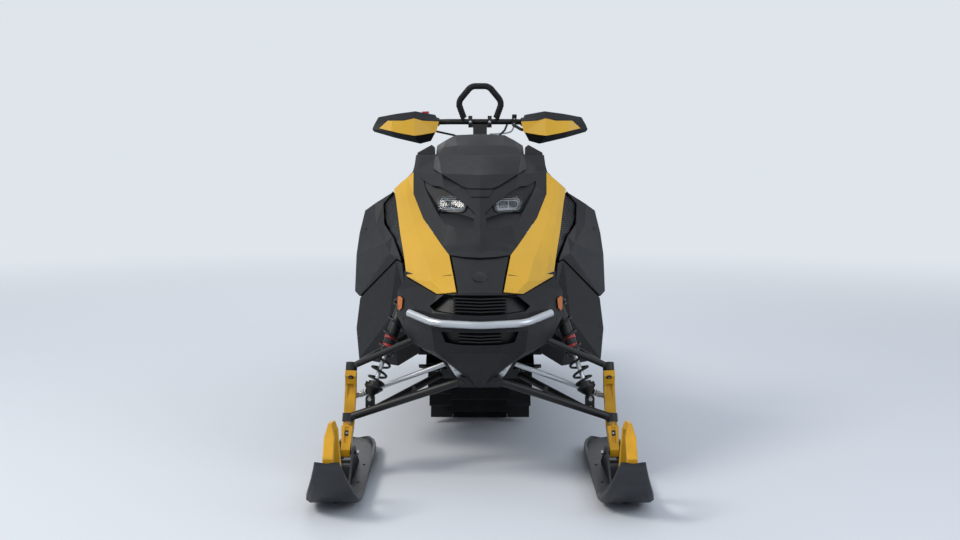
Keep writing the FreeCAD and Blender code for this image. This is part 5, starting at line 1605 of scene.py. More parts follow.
@dataclass
class FrontSuspension(Assembly):
    """The bulkhead, the engine, the arms, the ski shocks and the steering frame."""

    title: str = "front suspension"
    rows: tuple = (
        ("front_bulkhead", DARK_CAST, "bulkhead", 1.2), ("shock_towers", CHASSIS_BLACK, "shock_towers", 1.2),
        ("engine_block", ENGINE_CAST, "engine", 4.0),
        ("steering_frame", CHASSIS_BLACK, "steering_frame", 1.0),
        ("lower_arms", CHASSIS_BLACK, "lower_arms", 1.0), ("upper_arms", CHASSIS_BLACK, "upper_arms", 1.0),
        ("pitman_arm", CHASSIS_BLACK, "pitman_arm", 1.0))
    shock_low: Point = (384.0, 668.0, 272.0)
    shock_high: Point = (260.0, 783.0, 628.0)
    # Where the bulkhead's screws sit from the front and the arms' bolts from above.
    bulkhead_screws: tuple = ((62, 352), (30, 400), (100, 460), (140, 520))
    arm_bolts: tuple = ((398, 650), (372, 676), (384, 640))

    def shocks(self) -> list[Object]:
        """Builds both ski shocks, as one set of pieces.

        Returns:
            The pieces.
        """
        shock = CoilOver(at(*self.shock_low), at(*self.shock_high), BACK)
        return hang_shocks(self, "ski_shocks", [shock], True, (
            ("ski_shock_bodies", CoilOver.dark_parts, CHASSIS_BLACK),
            ("ski_shock_springs", CoilOver.spring, CHASSIS_BLACK),
            ("ski_shock_rods", CoilOver.rod, SATIN_METAL),
            ("ski_shock_bolts", CoilOver.bright_parts, BOLT_STEEL),
            ("ski_shock_collars", CoilOver.red_parts, RED_ANODISE)))

    def bolts(self) -> list[Object]:
        """Sets the bolts and the screws of the arms and the bulkhead.

        Returns:
            Their pieces.
        """
        bright, dark = Shape(), Shape()
        bulkhead = Skin(clean_copy("front_bulkhead"))
        for x, z in self.bulkhead_screws:
            self.pin(dark, bulkhead, Fastener.HEX, at(x, 200, z), BACK, 6.5)
        arms = Skin(clean_copy("lower_arms"))
        for x, s in self.arm_bolts:
            self.pin(bright, arms, Fastener.HEX, at(x, s, 420), DOWN, 4.5)
        self.pin(dark, arms, Fastener.HEX, at(438, 300, 209), BACK, 6.0)
        self.pin(dark, Skin(clean_copy("upper_arms")), Fastener.HEX, at(432, 300, 385), BACK, 6.0)
        return self.add_pairs((("suspension_bolts", bright, BOLT_STEEL),
                               ("suspension_screws", dark, DARK_BOLT)), "lower_arms")

    def arm_tabs(self) -> Object:
        """Adds the small tabs that stand on the lower arms.

        Returns:
            The tabs' piece.
        """
        shape = Shape()
        place = Skin(clean_copy("lower_arms")).meet(at(224, 595, 500), DOWN)[0]
        shape.wedge_box(place - UP * 0.001, TO_LEFT, BACK, Vector((0.2, 0, 1)), (16, 5, 20), 0.75)
        shape.wedge_box(place + Vector((0.004, 0, 0.017)), TO_LEFT, BACK, Vector((1, 0, 0.2)), (7, 6, 9), 0.7)
        return self.add_pairs((("arm_tabs", shape, CHASSIS_BLACK),), "lower_arms")[0]

    def build(self) -> list[Object]:
        """Builds the frame, the shocks and the bolts."""
        return super().build() + self.shocks() + self.bolts() + [self.arm_tabs()]


@dataclass
class SkiLeg(Assembly):
    """One spindle with its tie rod, its ski and the ski's handle."""

    title: str = "ski leg"
    side: Side = Side.LEFT
    ball_low: Point = (458.0, 640.0, 209.0)
    ball_high: Point = (450.0, 700.0, 378.0)
    tie_outer: Point = (454.9, 755.4, 259.2)
    tie_inner: Point = (27.0, 755.4, 414.0)
    ski_bolt: Point = (463.0, 600.0, 95.0)
    nut_drop: float = 14.5
    runner: Pair = (225.0, 975.0)
    runner_rise: float = 3.2
    runner_radius: float = 3.0
    # The ski's screws: sideways from its middle and behind the tips.
    ski_screws: tuple = ((52, 470), (-52, 470), (52, 720), (-52, 720), (0, 300), (0, 330))

    def spot(self, x: float, s: float, z: float) -> Vector:
        """A place on this side of the machine."""
        return at(x * self.side.value, s, z)

    def fixed(self, name: str, shape: Shape, finish: Finish, body: str, slot: str) -> Object:
        """Makes a piece named for this side."""
        return self.add(name + "_" + self.side.word, shape, finish, body, slot)

    def leg(self) -> list[Object]:
        """Dresses the spindle and sets its bolts and ball studs.

        Returns:
            The pieces.
        """
        node = "spindle_" + self.side.word
        body = body_of(node)
        made = [self.dress(node, YELLOW_COAT, "spindle", 2.0)]
        skin, dark, bright = Skin(clean_copy(node)), Shape(), Shape()
        for x, z in ((450, 345), (460, 162)):
            found = skin.meet(self.spot(x, 300, z), BACK)
            if found:
                dark.turned(found[0] - found[1] * 0.001, found[1],
                            [(10, 0), (10, 2.4), (8.8, 3.4), (4.2, 3.4), (4.2, 2.2), (3.8, 2.2)], 20)
                bright.fasten(Fastener.HEX, found[0] + found[1] * 0.0008, found[1], 3.4)
        for ball in (self.ball_low, self.ball_high):
            foot = self.spot(*ball) + DOWN * self.nut_drop * MM
            bright.turned(foot, DOWN, [(9.5, 0), (9.5, 2.0), (8, 2.6), (8, 9), (6.8, 10)], 6)
            bright.turned(foot - DOWN * 0.001, DOWN, [(12, 0), (12, 1.6)], 24)
        made.append(self.fixed("spindle_sockets", dark, DARK_BOLT, body, "spindle"))
        made.append(self.fixed("spindle_nuts", bright, BOLT_STEEL, body, "spindle"))
        return made

    def tie_rod(self) -> list[Object]:
        """Dresses the tie rod and adds its jam nuts and black joint boots.

        Returns:
            The pieces.
        """
        node = "tie_rod_" + self.side.word
        body = body_of(node)
        made = [self.dress(node, SATIN_METAL, "tie_rod", 0.8)]
        outer, inner = self.spot(*self.tie_outer), self.spot(*self.tie_inner)
        along = (outer - inner).normalized()
        nuts, boots = Shape(), Shape()
        for end, way in ((inner, along), (outer, -along)):
            nuts.turned(end + way * 0.034, way, [(11.8, 0), (12.4, 1), (12.4, 9), (11.8, 10)], 6)
            boots.turned(end + way * 0.045, way, [(9.6, 0), (11.5, 1), (11.5, 3), (10.4, 5), (11.2, 8),
                                                  (10.2, 10), (10.8, 13), (9.4, 15)], 20)
        made.append(self.fixed("tie_rod_nuts", nuts, BOLT_STEEL, body, "tie_rod"))
        made.append(self.fixed("tie_rod_boots", boots, GRIP_RUBBER, body, "tie_rod"))
        return made

    def ski(self) -> list[Object]:
        """Dresses the ski and its handle and adds the runner and the bolts.

        Returns:
            The pieces.
        """
        node, handle = "ski_" + self.side.word, "ski_handle_" + self.side.word
        body = body_of(node)
        made = [self.dress(node, SKI_PLASTIC, "ski", 2.5, 18.0),
                self.dress(handle, YELLOW_COAT, "ski_handle", 3.0)]
        skin, bright, dark = Skin(clean_copy(node)), Shape(), Shape()
        x = self.ski_bolt[0]
        run = []
        for k in range(21):
            s = self.runner[0] + (self.runner[1] - self.runner[0]) * k / 20
            found = skin.meet(self.spot(x, s, -80), UP)
            if found:
                run.append(found[0] + Vector((0, 0, self.runner_rise * MM)))
        bright.tube(run, self.runner_radius, 8)
        for way in (1, -1):
            start = self.spot(x, self.ski_bolt[1], self.ski_bolt[2]) + Vector((way * 0.2, 0, 0))
            self.pin(bright, skin, Fastener.HEX, start, Vector((-way, 0, 0)), 8.0)
        for off, s in self.ski_screws:
            self.pin(dark, skin, Fastener.BUTTON, self.spot(x + off, s, 400), DOWN, 5.0)
        made.append(self.fixed("ski_runner", bright, BOLT_STEEL, body, "ski"))
        made.append(self.fixed("ski_screws", dark, DARK_BOLT, body, "ski"))
        return made

    def build(self) -> list[Object]:
        """Builds the leg, the rod and the ski."""
        return self.leg() + self.tie_rod() + self.ski()


# Rear half

@dataclass
class Chassis(Assembly):
    """The tunnel with its boards, rear bumper, tail light and snow flap."""

    title: str = "chassis"
    rows: tuple = (
        ("tunnel", CHASSIS_BLACK, "tunnel_alloy", 2.0), ("running_boards", CHASSIS_BLACK, "board_alloy", 1.2),
        ("rear_bumper", CHASSIS_BLACK, "rear_bumper", 1.0), ("tail_light", RED_LENS, "tail_light", 2.0),
        ("snow_flap", GRIP_RUBBER, "snow_flap", 2.0))
    rivet: float = 4.2
    dimple: float = 0.42
    rivet_pitch: float = 92.0
    # The boards' teeth: how far apart they stand along the board and where their rows lie across it.
    teeth_pitch: float = 41.5
    teeth_rows: Point = (262.0, 300.0, 340.0)
    board_bolts: tuple = (1180, 1500, 1850, 2200, 2550)
    flap_rib: float = 3.2
    flap_rib_pitch: float = 44.0

    def rivets(self) -> list[Object]:
        """Sets the rivets of the tunnel and the bolts of the boards.

        Returns:
            Their pieces.
        """
        tunnel, boards = Skin(clean_copy("tunnel")), Skin(clean_copy("running_boards"))
        shape, bolts, teeth = Shape(), Shape(), Shape()
        for k in range(14):
            s = 1640 + self.rivet_pitch * k
            self.pin(shape, tunnel, Fastener.RIVET, at(206, s, 900), DOWN, self.rivet)
            self.pin(shape, tunnel, Fastener.RIVET, at(214, s, 900), DOWN, self.dimple)
        for k in range(18):
            s = 1130 + self.rivet_pitch * k
            for z in (585 - 0.018 * (s - 1020), 400 + 0.04 * (s - 1085)):
                self.pin(shape, tunnel, Fastener.RIVET, at(300, s, z), TO_RIGHT, self.rivet)
        for k in range(40):
            s = 1120 + self.teeth_pitch * k
            for x in self.teeth_rows:
                found = boards.meet(at(x + (8 if k % 2 else -8), s, 700), DOWN)
                if found and found[1].z > 0.95:
                    teeth.turned(found[0] - Vector((0, 0, 0.0004)), UP,
                                 [(5, 0), (4.4, 1.6), (3.4, 2.6), (2.6, 1.8), (2.4, 1.0)], 10)
        for s in self.board_bolts:
            self.pin(bolts, boards, Fastener.HEX, at(243, s, 700), DOWN, 5.5)
        return self.add_pairs((("tunnel_rivets", shape, BOLT_STEEL),), "tunnel_alloy") + self.add_pairs(
            (("board_bolts", bolts, BOLT_STEEL), ("board_teeth", teeth, CHASSIS_BLACK)), "board_alloy")

    def flap_ribs(self) -> Object:
        """Moulds the ribs on the snow flap.

        Returns:
            The ribs' piece.
        """
        skin, shape = Skin(clean_copy("snow_flap")), Shape()
        for k in range(-4, 5):
            run = []
            for step in range(16):
                found = skin.meet(at(k * self.flap_rib_pitch, 3600, 560 - 22 * step), AHEAD)
                if found:
                    run.append(found[0])
            shape.tube(run, self.flap_rib, 8)
        return self.add("snow_flap_ribs", shape, GRIP_RUBBER, "chassis", "snow_flap")

    def light_frame(self) -> Object:
        """Sets the tail light in its black frame.

        Returns:
            The frame's piece.
        """
        low, high = (Vector(p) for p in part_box("tail_light"))
        y = high.y - 0.006
        shape = Shape()
        corners = [Vector((low.x, y, low.z)), Vector((high.x, y, low.z)), Vector((high.x, y, high.z)),
                   Vector((low.x, y, high.z))]
        shape.tube([p.lerp(q, t) for p, q in zip(corners, corners[1:] + corners[:1])
                    for t in (0.06, 0.5, 0.94)], 2.6, 8, looped=True)
        for k in range(1, 6):
            x, y = low.x + (high.x - low.x) * k / 6, high.y - 0.0008
            shape.tube([Vector((x, y, low.z + 0.003)), Vector((x, y, high.z - 0.003))], 0.9, 6)
        return self.add("tail_light_frame", shape, GLOSS_BLACK, "chassis", "tail_light")

    def build(self) -> list[Object]:
        """Builds the tunnel and what is on it."""
        return super().build() + self.rivets() + [self.flap_ribs(), self.light_frame()]


@dataclass
class Skid(Assembly):
    """The track, its axle and wheels, the rails and the shocks inside it."""

    title: str = "skid"
    rows: tuple = (
        ("track", TRACK_RUBBER, "track_rubber", 1.5, 35.0), ("drive_axle", BODY_BLACK, "drive_axle", 1.0),
        ("idler_wheels", BODY_BLACK, "idler_wheels", 1.0), ("slide_rails", RAIL_METAL, "slide_rails", 1.0),
        ("skid_arms", CHASSIS_BLACK, "skid_arms", 1.0))
    rail_x: float = 115.0
    rail_run: Pair = (1560.0, 2700.0)
    # Each shock: its lower and its upper eye, behind the tips and up, and its coil's radius.
    shock_table: tuple = (((1685, 130), (1400, 420), 23.0), ((2290, 130), (1900, 372), 25.0))
    # Each pair of wheels: behind the tips, up, radius, sideways and width.
    wheel_table: tuple = ((2829.5, 182, 98, 56, 26), (2829.5, 182, 98, 160, 26), (1900, 372, 60, 80, 24),
                          (1770, 150, 66, 150, 24), (2120, 150, 66, 150, 24), (2470, 150, 66, 150, 24))
    tyre: tuple = ((-9, 0), (-9, 1.6), (-7.5, 2.4), (-2.5, 2.2), (-1, 1.2), (-1, 0))

    def shocks(self) -> list[Object]:
        """Builds the two shocks inside the track.

        Returns:
            The pieces.
        """
        pair = [CoilOver(at(0, *low), at(0, *high), TO_LEFT, 9.0, 22.0, coil, 5.0, 6.5, 1.0, 0.14, 0.64, 0.48)
                for low, high, coil in self.shock_table]
        return hang_shocks(self, "skid_shocks", pair, False, (
            ("skid_shock_bodies", CoilOver.dark_parts, CHASSIS_BLACK),
            ("skid_shock_springs", CoilOver.spring, YELLOW_COAT),
            ("skid_shock_rods", CoilOver.rod, SATIN_METAL)))

    def wheel_faces(self) -> list[Object]:
        """Puts rubber tyres and hub bolts on the idler wheels.

        Returns:
            The pieces.
        """
        tyres, hubs = Shape(), Shape()
        for s, z, radius, x, width in self.wheel_table:
            for way in (1, -1):
                outer, axis = at(x + way * width / 2, s, z), Vector((way, 0, 0))
                foot = outer - axis * 0.0012
                tyres.ring(foot, axis, [(radius + grow, height) for grow, height in self.tyre], 40)
                hubs.ring(foot, axis, [(14, 0), (14, 2.2), (17, 2.2), (18.5, 0)], 24)
                for k in range(5):
                    t = 2 * math.pi * k / 5
                    along = Vector((0, math.cos(t), math.sin(t)))
                    hubs.wedge_box(outer + along * radius * 0.56 * MM - axis * 0.001, along,
                                   Vector((0, -math.sin(t), math.cos(t))), axis, (radius * 0.5, 7, 2.4), 0.85)
        return self.add_pairs((("wheel_tyres", tyres, TRACK_RUBBER), ("wheel_ribs", hubs, BODY_BLACK)),
                              "idler_wheels")

    def slides(self) -> Object:
        """Fits the sliding strips under the rails.

        Returns:
            The strips' piece.
        """
        shape, (first, last) = Shape(), self.rail_run
        shape.wedge_box(at(self.rail_x, (first + last) / 2, 85), BACK, TO_LEFT, UP, (last - first, 17, 13))
        return self.add_pairs((("slide_strips", shape, SLIDE_PLASTIC),), "slide_rails")[0]

    def build(self) -> list[Object]:
        """Builds the skid."""
        return super().build() + self.shocks() + self.wheel_faces() + [self.slides()]


@dataclass
class Saddle(Assembly):
    """The fuel tank with its cap and the padded seat behind it."""

    title: str = "saddle"
    rows: tuple = (("fuel_tank", BODY_BLACK, "fuel_tank", 5.0, 14.0),)
    voxel: float = 6.0
    start_smaller: float = 7.0
    pressure: float = 4.0
    most_swell: float = 22.0
    steps: int = 20
    cross_seams: tuple = (1790.0, 2030.0)
    seam_width: float = 9.0
    seam_depth: float = 4.0
    # The long seam: its height at its ends, how far it sags and where it runs behind the tips.
    seam_height: float = 792.0
    seam_sag: float = 18.0
    seam_run: Pair = (1604.0, 2170.0)
    piping_radius: float = 1.9
    thread_radius: float = 0.55
    stitch_gap: float = 5.0
    # The rubber pad between the tank and the seat, its left half.
    pad: Outline = ((0, 650), (112, 650), (118, 700), (100, 770), (60, 800), (0, 800))

    def cushion(self) -> Object:
        """Fills the seat's cover: a slightly smaller copy of the solid swells as cloth.

        Returns:
            The cushion.
        """
        body = body_of("seat")
        piece = new_piece("seat_cushion", clean_copy("seat"), SEAT_VINYL, body)
        remesh = piece.modifiers.new("even_mesh", "REMESH")
        remesh.mode, remesh.voxel_size = "VOXEL", self.voxel * MM
        apply_modifiers(piece)
        starts = [vertex.co - vertex.normal * self.start_smaller * MM for vertex in piece.data.vertices]
        for vertex, start in zip(piece.data.vertices, starts):
            vertex.co = start
        cloth = piece.modifiers.new("filling", "CLOTH")
        cloth.settings.use_pressure = True
        cloth.settings.uniform_pressure_force = self.pressure
        cloth.settings.effector_weights.gravity = 0.0
        cloth.point_cache.frame_end = self.steps
        for step in range(1, self.steps + 1):
            bpy.context.scene.frame_set(step)
        apply_modifiers(piece)
        bpy.context.scene.frame_set(1)
        low = min(start.z for start in starts)
        for vertex, start in zip(piece.data.vertices, starts):
            move = vertex.co - start
            move *= min(1.0, self.most_swell * MM / max(move.length, 1e-9))
            # The foot of the pad lies on the tunnel and stays flat.
            move *= min(1.0, max(0.0, (start.z - low - 0.012) / 0.04))
            vertex.co = start + move
        piece.data.shade_smooth()
        finer = piece.modifiers.new("finer", "SUBSURF")
        finer.levels = finer.render_levels = 1
        apply_modifiers(piece)
        self.sew(piece.data)
        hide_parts("seat")
        return piece

    def shoulder(self, behind_tip: float) -> float:
        """The height of the long seam at a place along the seat."""
        first, last = self.seam_run
        return self.seam_height - self.seam_sag * math.sin(math.pi * (behind_tip - first) / (last - first))

    def sew(self, mesh: Mesh) -> None:
        """Presses the sewn channels into the cushion.

        Args:
            mesh: the cushion's mesh.
        """
        moves = []
        for vertex in mesh.vertices:
            s, z = vertex.co.y / MM + TIPS_TO_ORIGIN, vertex.co.z / MM
            near = [abs(z - self.shoulder(s))] if abs(vertex.normal.x) > 0.3 else []
            if z > self.shoulder(s):
                near += [abs(s - seam) for seam in self.cross_seams]
            gap = min(near, default=99.0)
            if gap < self.seam_width:
                depth = self.seam_depth * (1 - gap / self.seam_width) ** 2 * MM
                moves.append((vertex.index, -vertex.normal * depth))
        for index, move in moves:
            mesh.vertices[index].co += move

    def seams(self, cushion: Object) -> list[Object]:
        """Lays the piping and the stitches in the channels.

        Args:
            cushion: the cushion that carries them.

        Returns:
            The pieces.
        """
        skin, piping, thread = Skin(cushion.data), Shape(), Shape()
        runs = []
        for way in (1, -1):
            runs.append([skin.meet(at(way * 400, s, self.shoulder(s)), Vector((-way, 0, 0)))
                         for s in range(1630, 2150, 8)])
        for seam in self.cross_seams:
            runs.append([skin.meet(at(0, seam, 700) + Vector((math.cos(t), 0, math.sin(t))) * 0.5,
                                   Vector((-math.cos(t), 0, -math.sin(t))))
                         for t in (math.radians(40 + 2.5 * k) for k in range(41))])
        for run in runs:
            found = [hit for hit in run if hit]
            piping.tube([place + off * 0.8 * MM for place, off in found],
                        self.piping_radius, 8)
            for (a, off), (b, _) in zip(found, found[1:]):
                side = (b - a).cross(off).normalized() * self.stitch_gap * MM
                for offset in (side, -side):
                    lift = off * 0.9 * MM + offset
                    thread.tube([a.lerp(b, 0.15) + lift, a.lerp(b, 0.6) + lift], self.thread_radius, 5)
        body = body_of("seat")
        pad = front_prism(whole(self.pad), 1598, 1628)
        return [self.mould("tank_pad", pad, TRACK_RUBBER, "seat", 2.0, 30.0, "", body),
                self.add("seat_piping", piping, SEAT_VINYL, body, "seat"),
                self.add("seat_stitches", thread, SEAT_THREAD, body, "seat")]

    def cap_grip(self) -> Object:
        """Cuts the flutes of the fuel cap.

        Returns:
            The flutes' piece.
        """
        shape = Shape()
        axis = (at(0, 1478, 952) - at(0, 1470, 900)).normalized()
        first, second = square_to(axis)
        for k in range(20):
            t = 2 * math.pi * k / 20
            edge = at(0, 1474, 924) + (first * math.cos(t) + second * math.sin(t)) * 41.5 * MM
            shape.tube([edge, edge + axis * 0.011, edge + axis * 0.022], 2.6, 6)
        shape.ring(at(0, 1477.2, 946.8), axis, [(26, 3), (26, 6), (29, 6.8), (32, 6), (32, 3)], 32)
        return self.add("fuel_cap_grip", shape, GRIP_RUBBER, "chassis", "fuel_tank")

    def build(self) -> list[Object]:
        """Builds the tank and the seat."""
        cushion = self.cushion()
        return super().build() + [cushion] + self.seams(cushion) + [self.cap_grip()]


@dataclass
class Steering(Assembly):
    """The bar with its grips, guards, loop, controls and hoses."""

    title: str = "steering"
    # What the slim riser, its clamps and the control blocks leave of the solids' fuller forms.
    head_cuts: tuple[Outline, ...] = (((46, 1190), (70, 1190), (70, 1275), (46, 1275)),
                                      ((27, 1140), (44, 1140), (44, 1215), (27, 1215)))
    head_gap: Outline = ((0, 1228), (30, 1228), (30, 1275), (0, 1275))
    block_cuts: tuple[Outline, ...] = (((80, 1223), (126, 1223), (126, 1300), (80, 1300)),
                                       ((125, 1266), (150, 1266), (150, 1300), (125, 1300)))
    rows: tuple = (
        ("handlebar", CHASSIS_BLACK, "handlebar", 0.8),
        ("grips", GRIP_RUBBER, "grips", 1.5), ("grab_loop", GRIP_RUBBER, "grab_loop", 1.0),
        ("stop_switch", RED_BUTTON, "stop_switch", 1.0),
        ("control_cables", GRIP_RUBBER, "control_cables", 0.5, 60.0))
    # Where the cutting prisms start and end, in millimetres behind the tips.
    cut: Pair = (1300.0, 1500.0)
    cover_cut: Pair = (1200.0, 1450.0)
    bend: Point = (120.0, 1395.0, 1238.0)
    bar_end: Point = (372.0, 1437.0, 1234.0)
    grip_start: float = 250.0
    grip: float = 17.0
    loop: tuple = ((60.0, 1393.0, 1242.0), (86.0, 1381.0, 1314.0), (34.0, 1369.0, 1376.0))
    cover: Outline = ((158, 1238), (223, 1241), (255, 1250), (295, 1241), (359, 1241), (392, 1212),
                      (311, 1193), (255, 1183), (223, 1186), (170, 1197))
    guard_arm: float = 8.0
    # The ribs' cut faces: radius (off the grip's own, for the grips) and place along the bar.
    grip_rib: tuple = ((-0.5, 0), (1.1, 0.7), (1.1, 2.6), (-0.5, 3.3))
    rib_pitch: float = 7.0
    loop_rib: tuple = ((11.6, 0), (12.9, 0.8), (12.9, 3.0), (11.6, 3.8))
    block_screws: tuple = ((135, 1249), (135, 1229), (-104, 1247), (-104, 1229), (-215, 1244))
    hose_radius: float = 3.2
    hose: tuple = ((133.0, 1392.0, 1222.0), (129.0, 1388.0, 1203.0), (112.0, 1384.0, 1194.0),
                   (76.0, 1382.0, 1191.0), (38.0, 1382.0, 1189.0))

    def guards(self) -> list[Object]:
        """Moulds the hand guards with their covers, arms and clamps.

        Returns:
            The pieces.
        """
        cover = combine(GUARD.solid(4.0, -0.2), front_prism(self.cover, *self.cover_cut), "INTERSECT")
        arms = Shape()
        first, last = at(*self.bend), at(*self.bar_end)
        along = (last - first).normalized()
        clamp = first.lerp(last, (171 - self.bend[0]) / (self.bar_end[0] - self.bend[0]))
        arms.tube(rounded([at(182, 1341, 1222), at(172, 1372, 1230), clamp], 10), self.guard_arm, 14)
        arms.turned(clamp - along * 0.01, along, [(15.5, 0), (17, 1.5), (17, 18.5), (15.5, 20)], 24)
        arms.tube([last - along * 0.004, last + along * 0.012], 13, 16)
        arms.tube(rounded([last + along * 0.008, at(394, 1405, 1232), at(404, 1362, 1228)], 12),
                  self.guard_arm, 14)
        arms.mirror()
        return [self.mould("handguard_shells", both(GUARD.solid()), BODY_BLACK, "handguards", 2.2, 14.0,
                           "handguards", "handlebars"),
                self.mould("guard_cover_skins", both(cover), BODY_YELLOW, "guard_covers", 1.2, 16.0,
                           "guard_covers", "handlebars"),
                self.add("guard_arms", arms, CHASSIS_BLACK, "handlebars", "handguards")]

    def grip_ribs(self) -> Object:
        """Moulds the ribs of the grips.

        Returns:
            The ribs' piece.
        """
        shape = Shape()
        first, last = at(*self.bend), at(*self.bar_end)
        for k in range(15):
            reach = self.grip_start + 10 + k * self.rib_pitch - self.bend[0]
            shape.ring(first.lerp(last, reach / (self.bar_end[0] - self.bend[0])), last - first,
                       [(self.grip + grow, place) for grow, place in self.grip_rib])
        shape.mirror()
        return self.add("grip_ribs", shape, GRIP_RUBBER, "handlebars", "grips")

    def loop_ribs(self) -> Object:
        """Moulds the ribs of the grab loop.

        Returns:
            The ribs' piece.
        """
        shape = Shape()
        points = [at(*p) for p in self.loop]
        for a, b, count in ((points[0], points[1], 5), (points[1], points[2], 6)):
            for k in range(count):
                share = 0.24 + 0.56 * k / (count - 1)
                shape.ring(a.lerp(b, share), b - a, list(self.loop_rib))
        shape.mirror()
        return self.add("grab_loop_ribs", shape, GRIP_RUBBER, "handlebars", "grab_loop")

    def brake_hose(self) -> Object:
        """Runs the pale brake hose from the lever's box to the riser.

        Returns:
            The hose.
        """
        curve = bpy.data.curves.new("hose_route", "CURVE")
        curve.dimensions = "3D"
        spline = curve.splines.new("NURBS")
        spline.points.add(len(self.hose) - 1)
        for point, place in zip(spline.points, self.hose):
            point.co = (*at(*place), 1.0)
        spline.order_u, spline.use_endpoint_u, spline.resolution_u = 3, True, 8
        route = bpy.data.objects.new("hose_route", curve)
        bpy.context.scene.collection.objects.link(route)
        line = bpy.data.meshes.new_from_object(route)
        shape = Shape()
        shape.tube([v.co.copy() for v in line.vertices], self.hose_radius, 10)
        bpy.data.objects.remove(route)
        bpy.data.curves.remove(curve)
        bpy.data.meshes.remove(line)
        return self.add("brake_hose", shape, HOSE_SHEATH, "handlebars", "control_cables")

    def bar_bolts(self) -> Object:
        """Sets the screws of the clamps and the control boxes.

        Returns:
            The screws' piece.
        """
        shape = Shape()
        controls, post = Skin(clean_copy("hand_controls")), Skin(clean_copy("steering_post"))
        for x, z in self.block_screws:
            self.pin(shape, controls, Fastener.BUTTON, at(x, 1200, z), BACK, 3.2)
        for x in (-38, 38):
            self.pin(shape, post, Fastener.HEX, at(x, 1200, 1238), BACK, 3.6)
            self.pin(shape, post, Fastener.BUTTON, at(x, 1395, 1500), DOWN, 3.6)
        return self.add("bar_screws", shape, BOLT_STEEL, "handlebars", "hand_controls")

    def head(self) -> list[Object]:
        """Trims the post's head and the control blocks to their slim forms.

        Returns:
            The pieces.
        """
        post, blocks = clean_copy("steering_post"), clean_copy("hand_controls")
        post = combine(post, front_prism(whole(self.head_gap), *self.cut), "DIFFERENCE")
        for outline in self.head_cuts:
            post = combine(post, both(front_prism(outline, *self.cut)), "DIFFERENCE")
        for outline in self.block_cuts:
            blocks = combine(blocks, front_prism(outline, *self.cut), "DIFFERENCE")
        return [self.mould("slim_" + node, mesh, finish, node, edge, 30.0, node, body_of(node))
                for node, mesh, finish, edge in (("steering_post", post, CHASSIS_BLACK, 1.5),
                                                 ("hand_controls", blocks, BODY_BLACK, 2.0))]

    def build(self) -> list[Object]:
        """Builds the bar and what is on it."""
        return [*super().build(), *self.guards(), self.grip_ribs(), self.loop_ribs(), self.brake_hose(),
                self.bar_bolts(), *self.head()]


# Studio

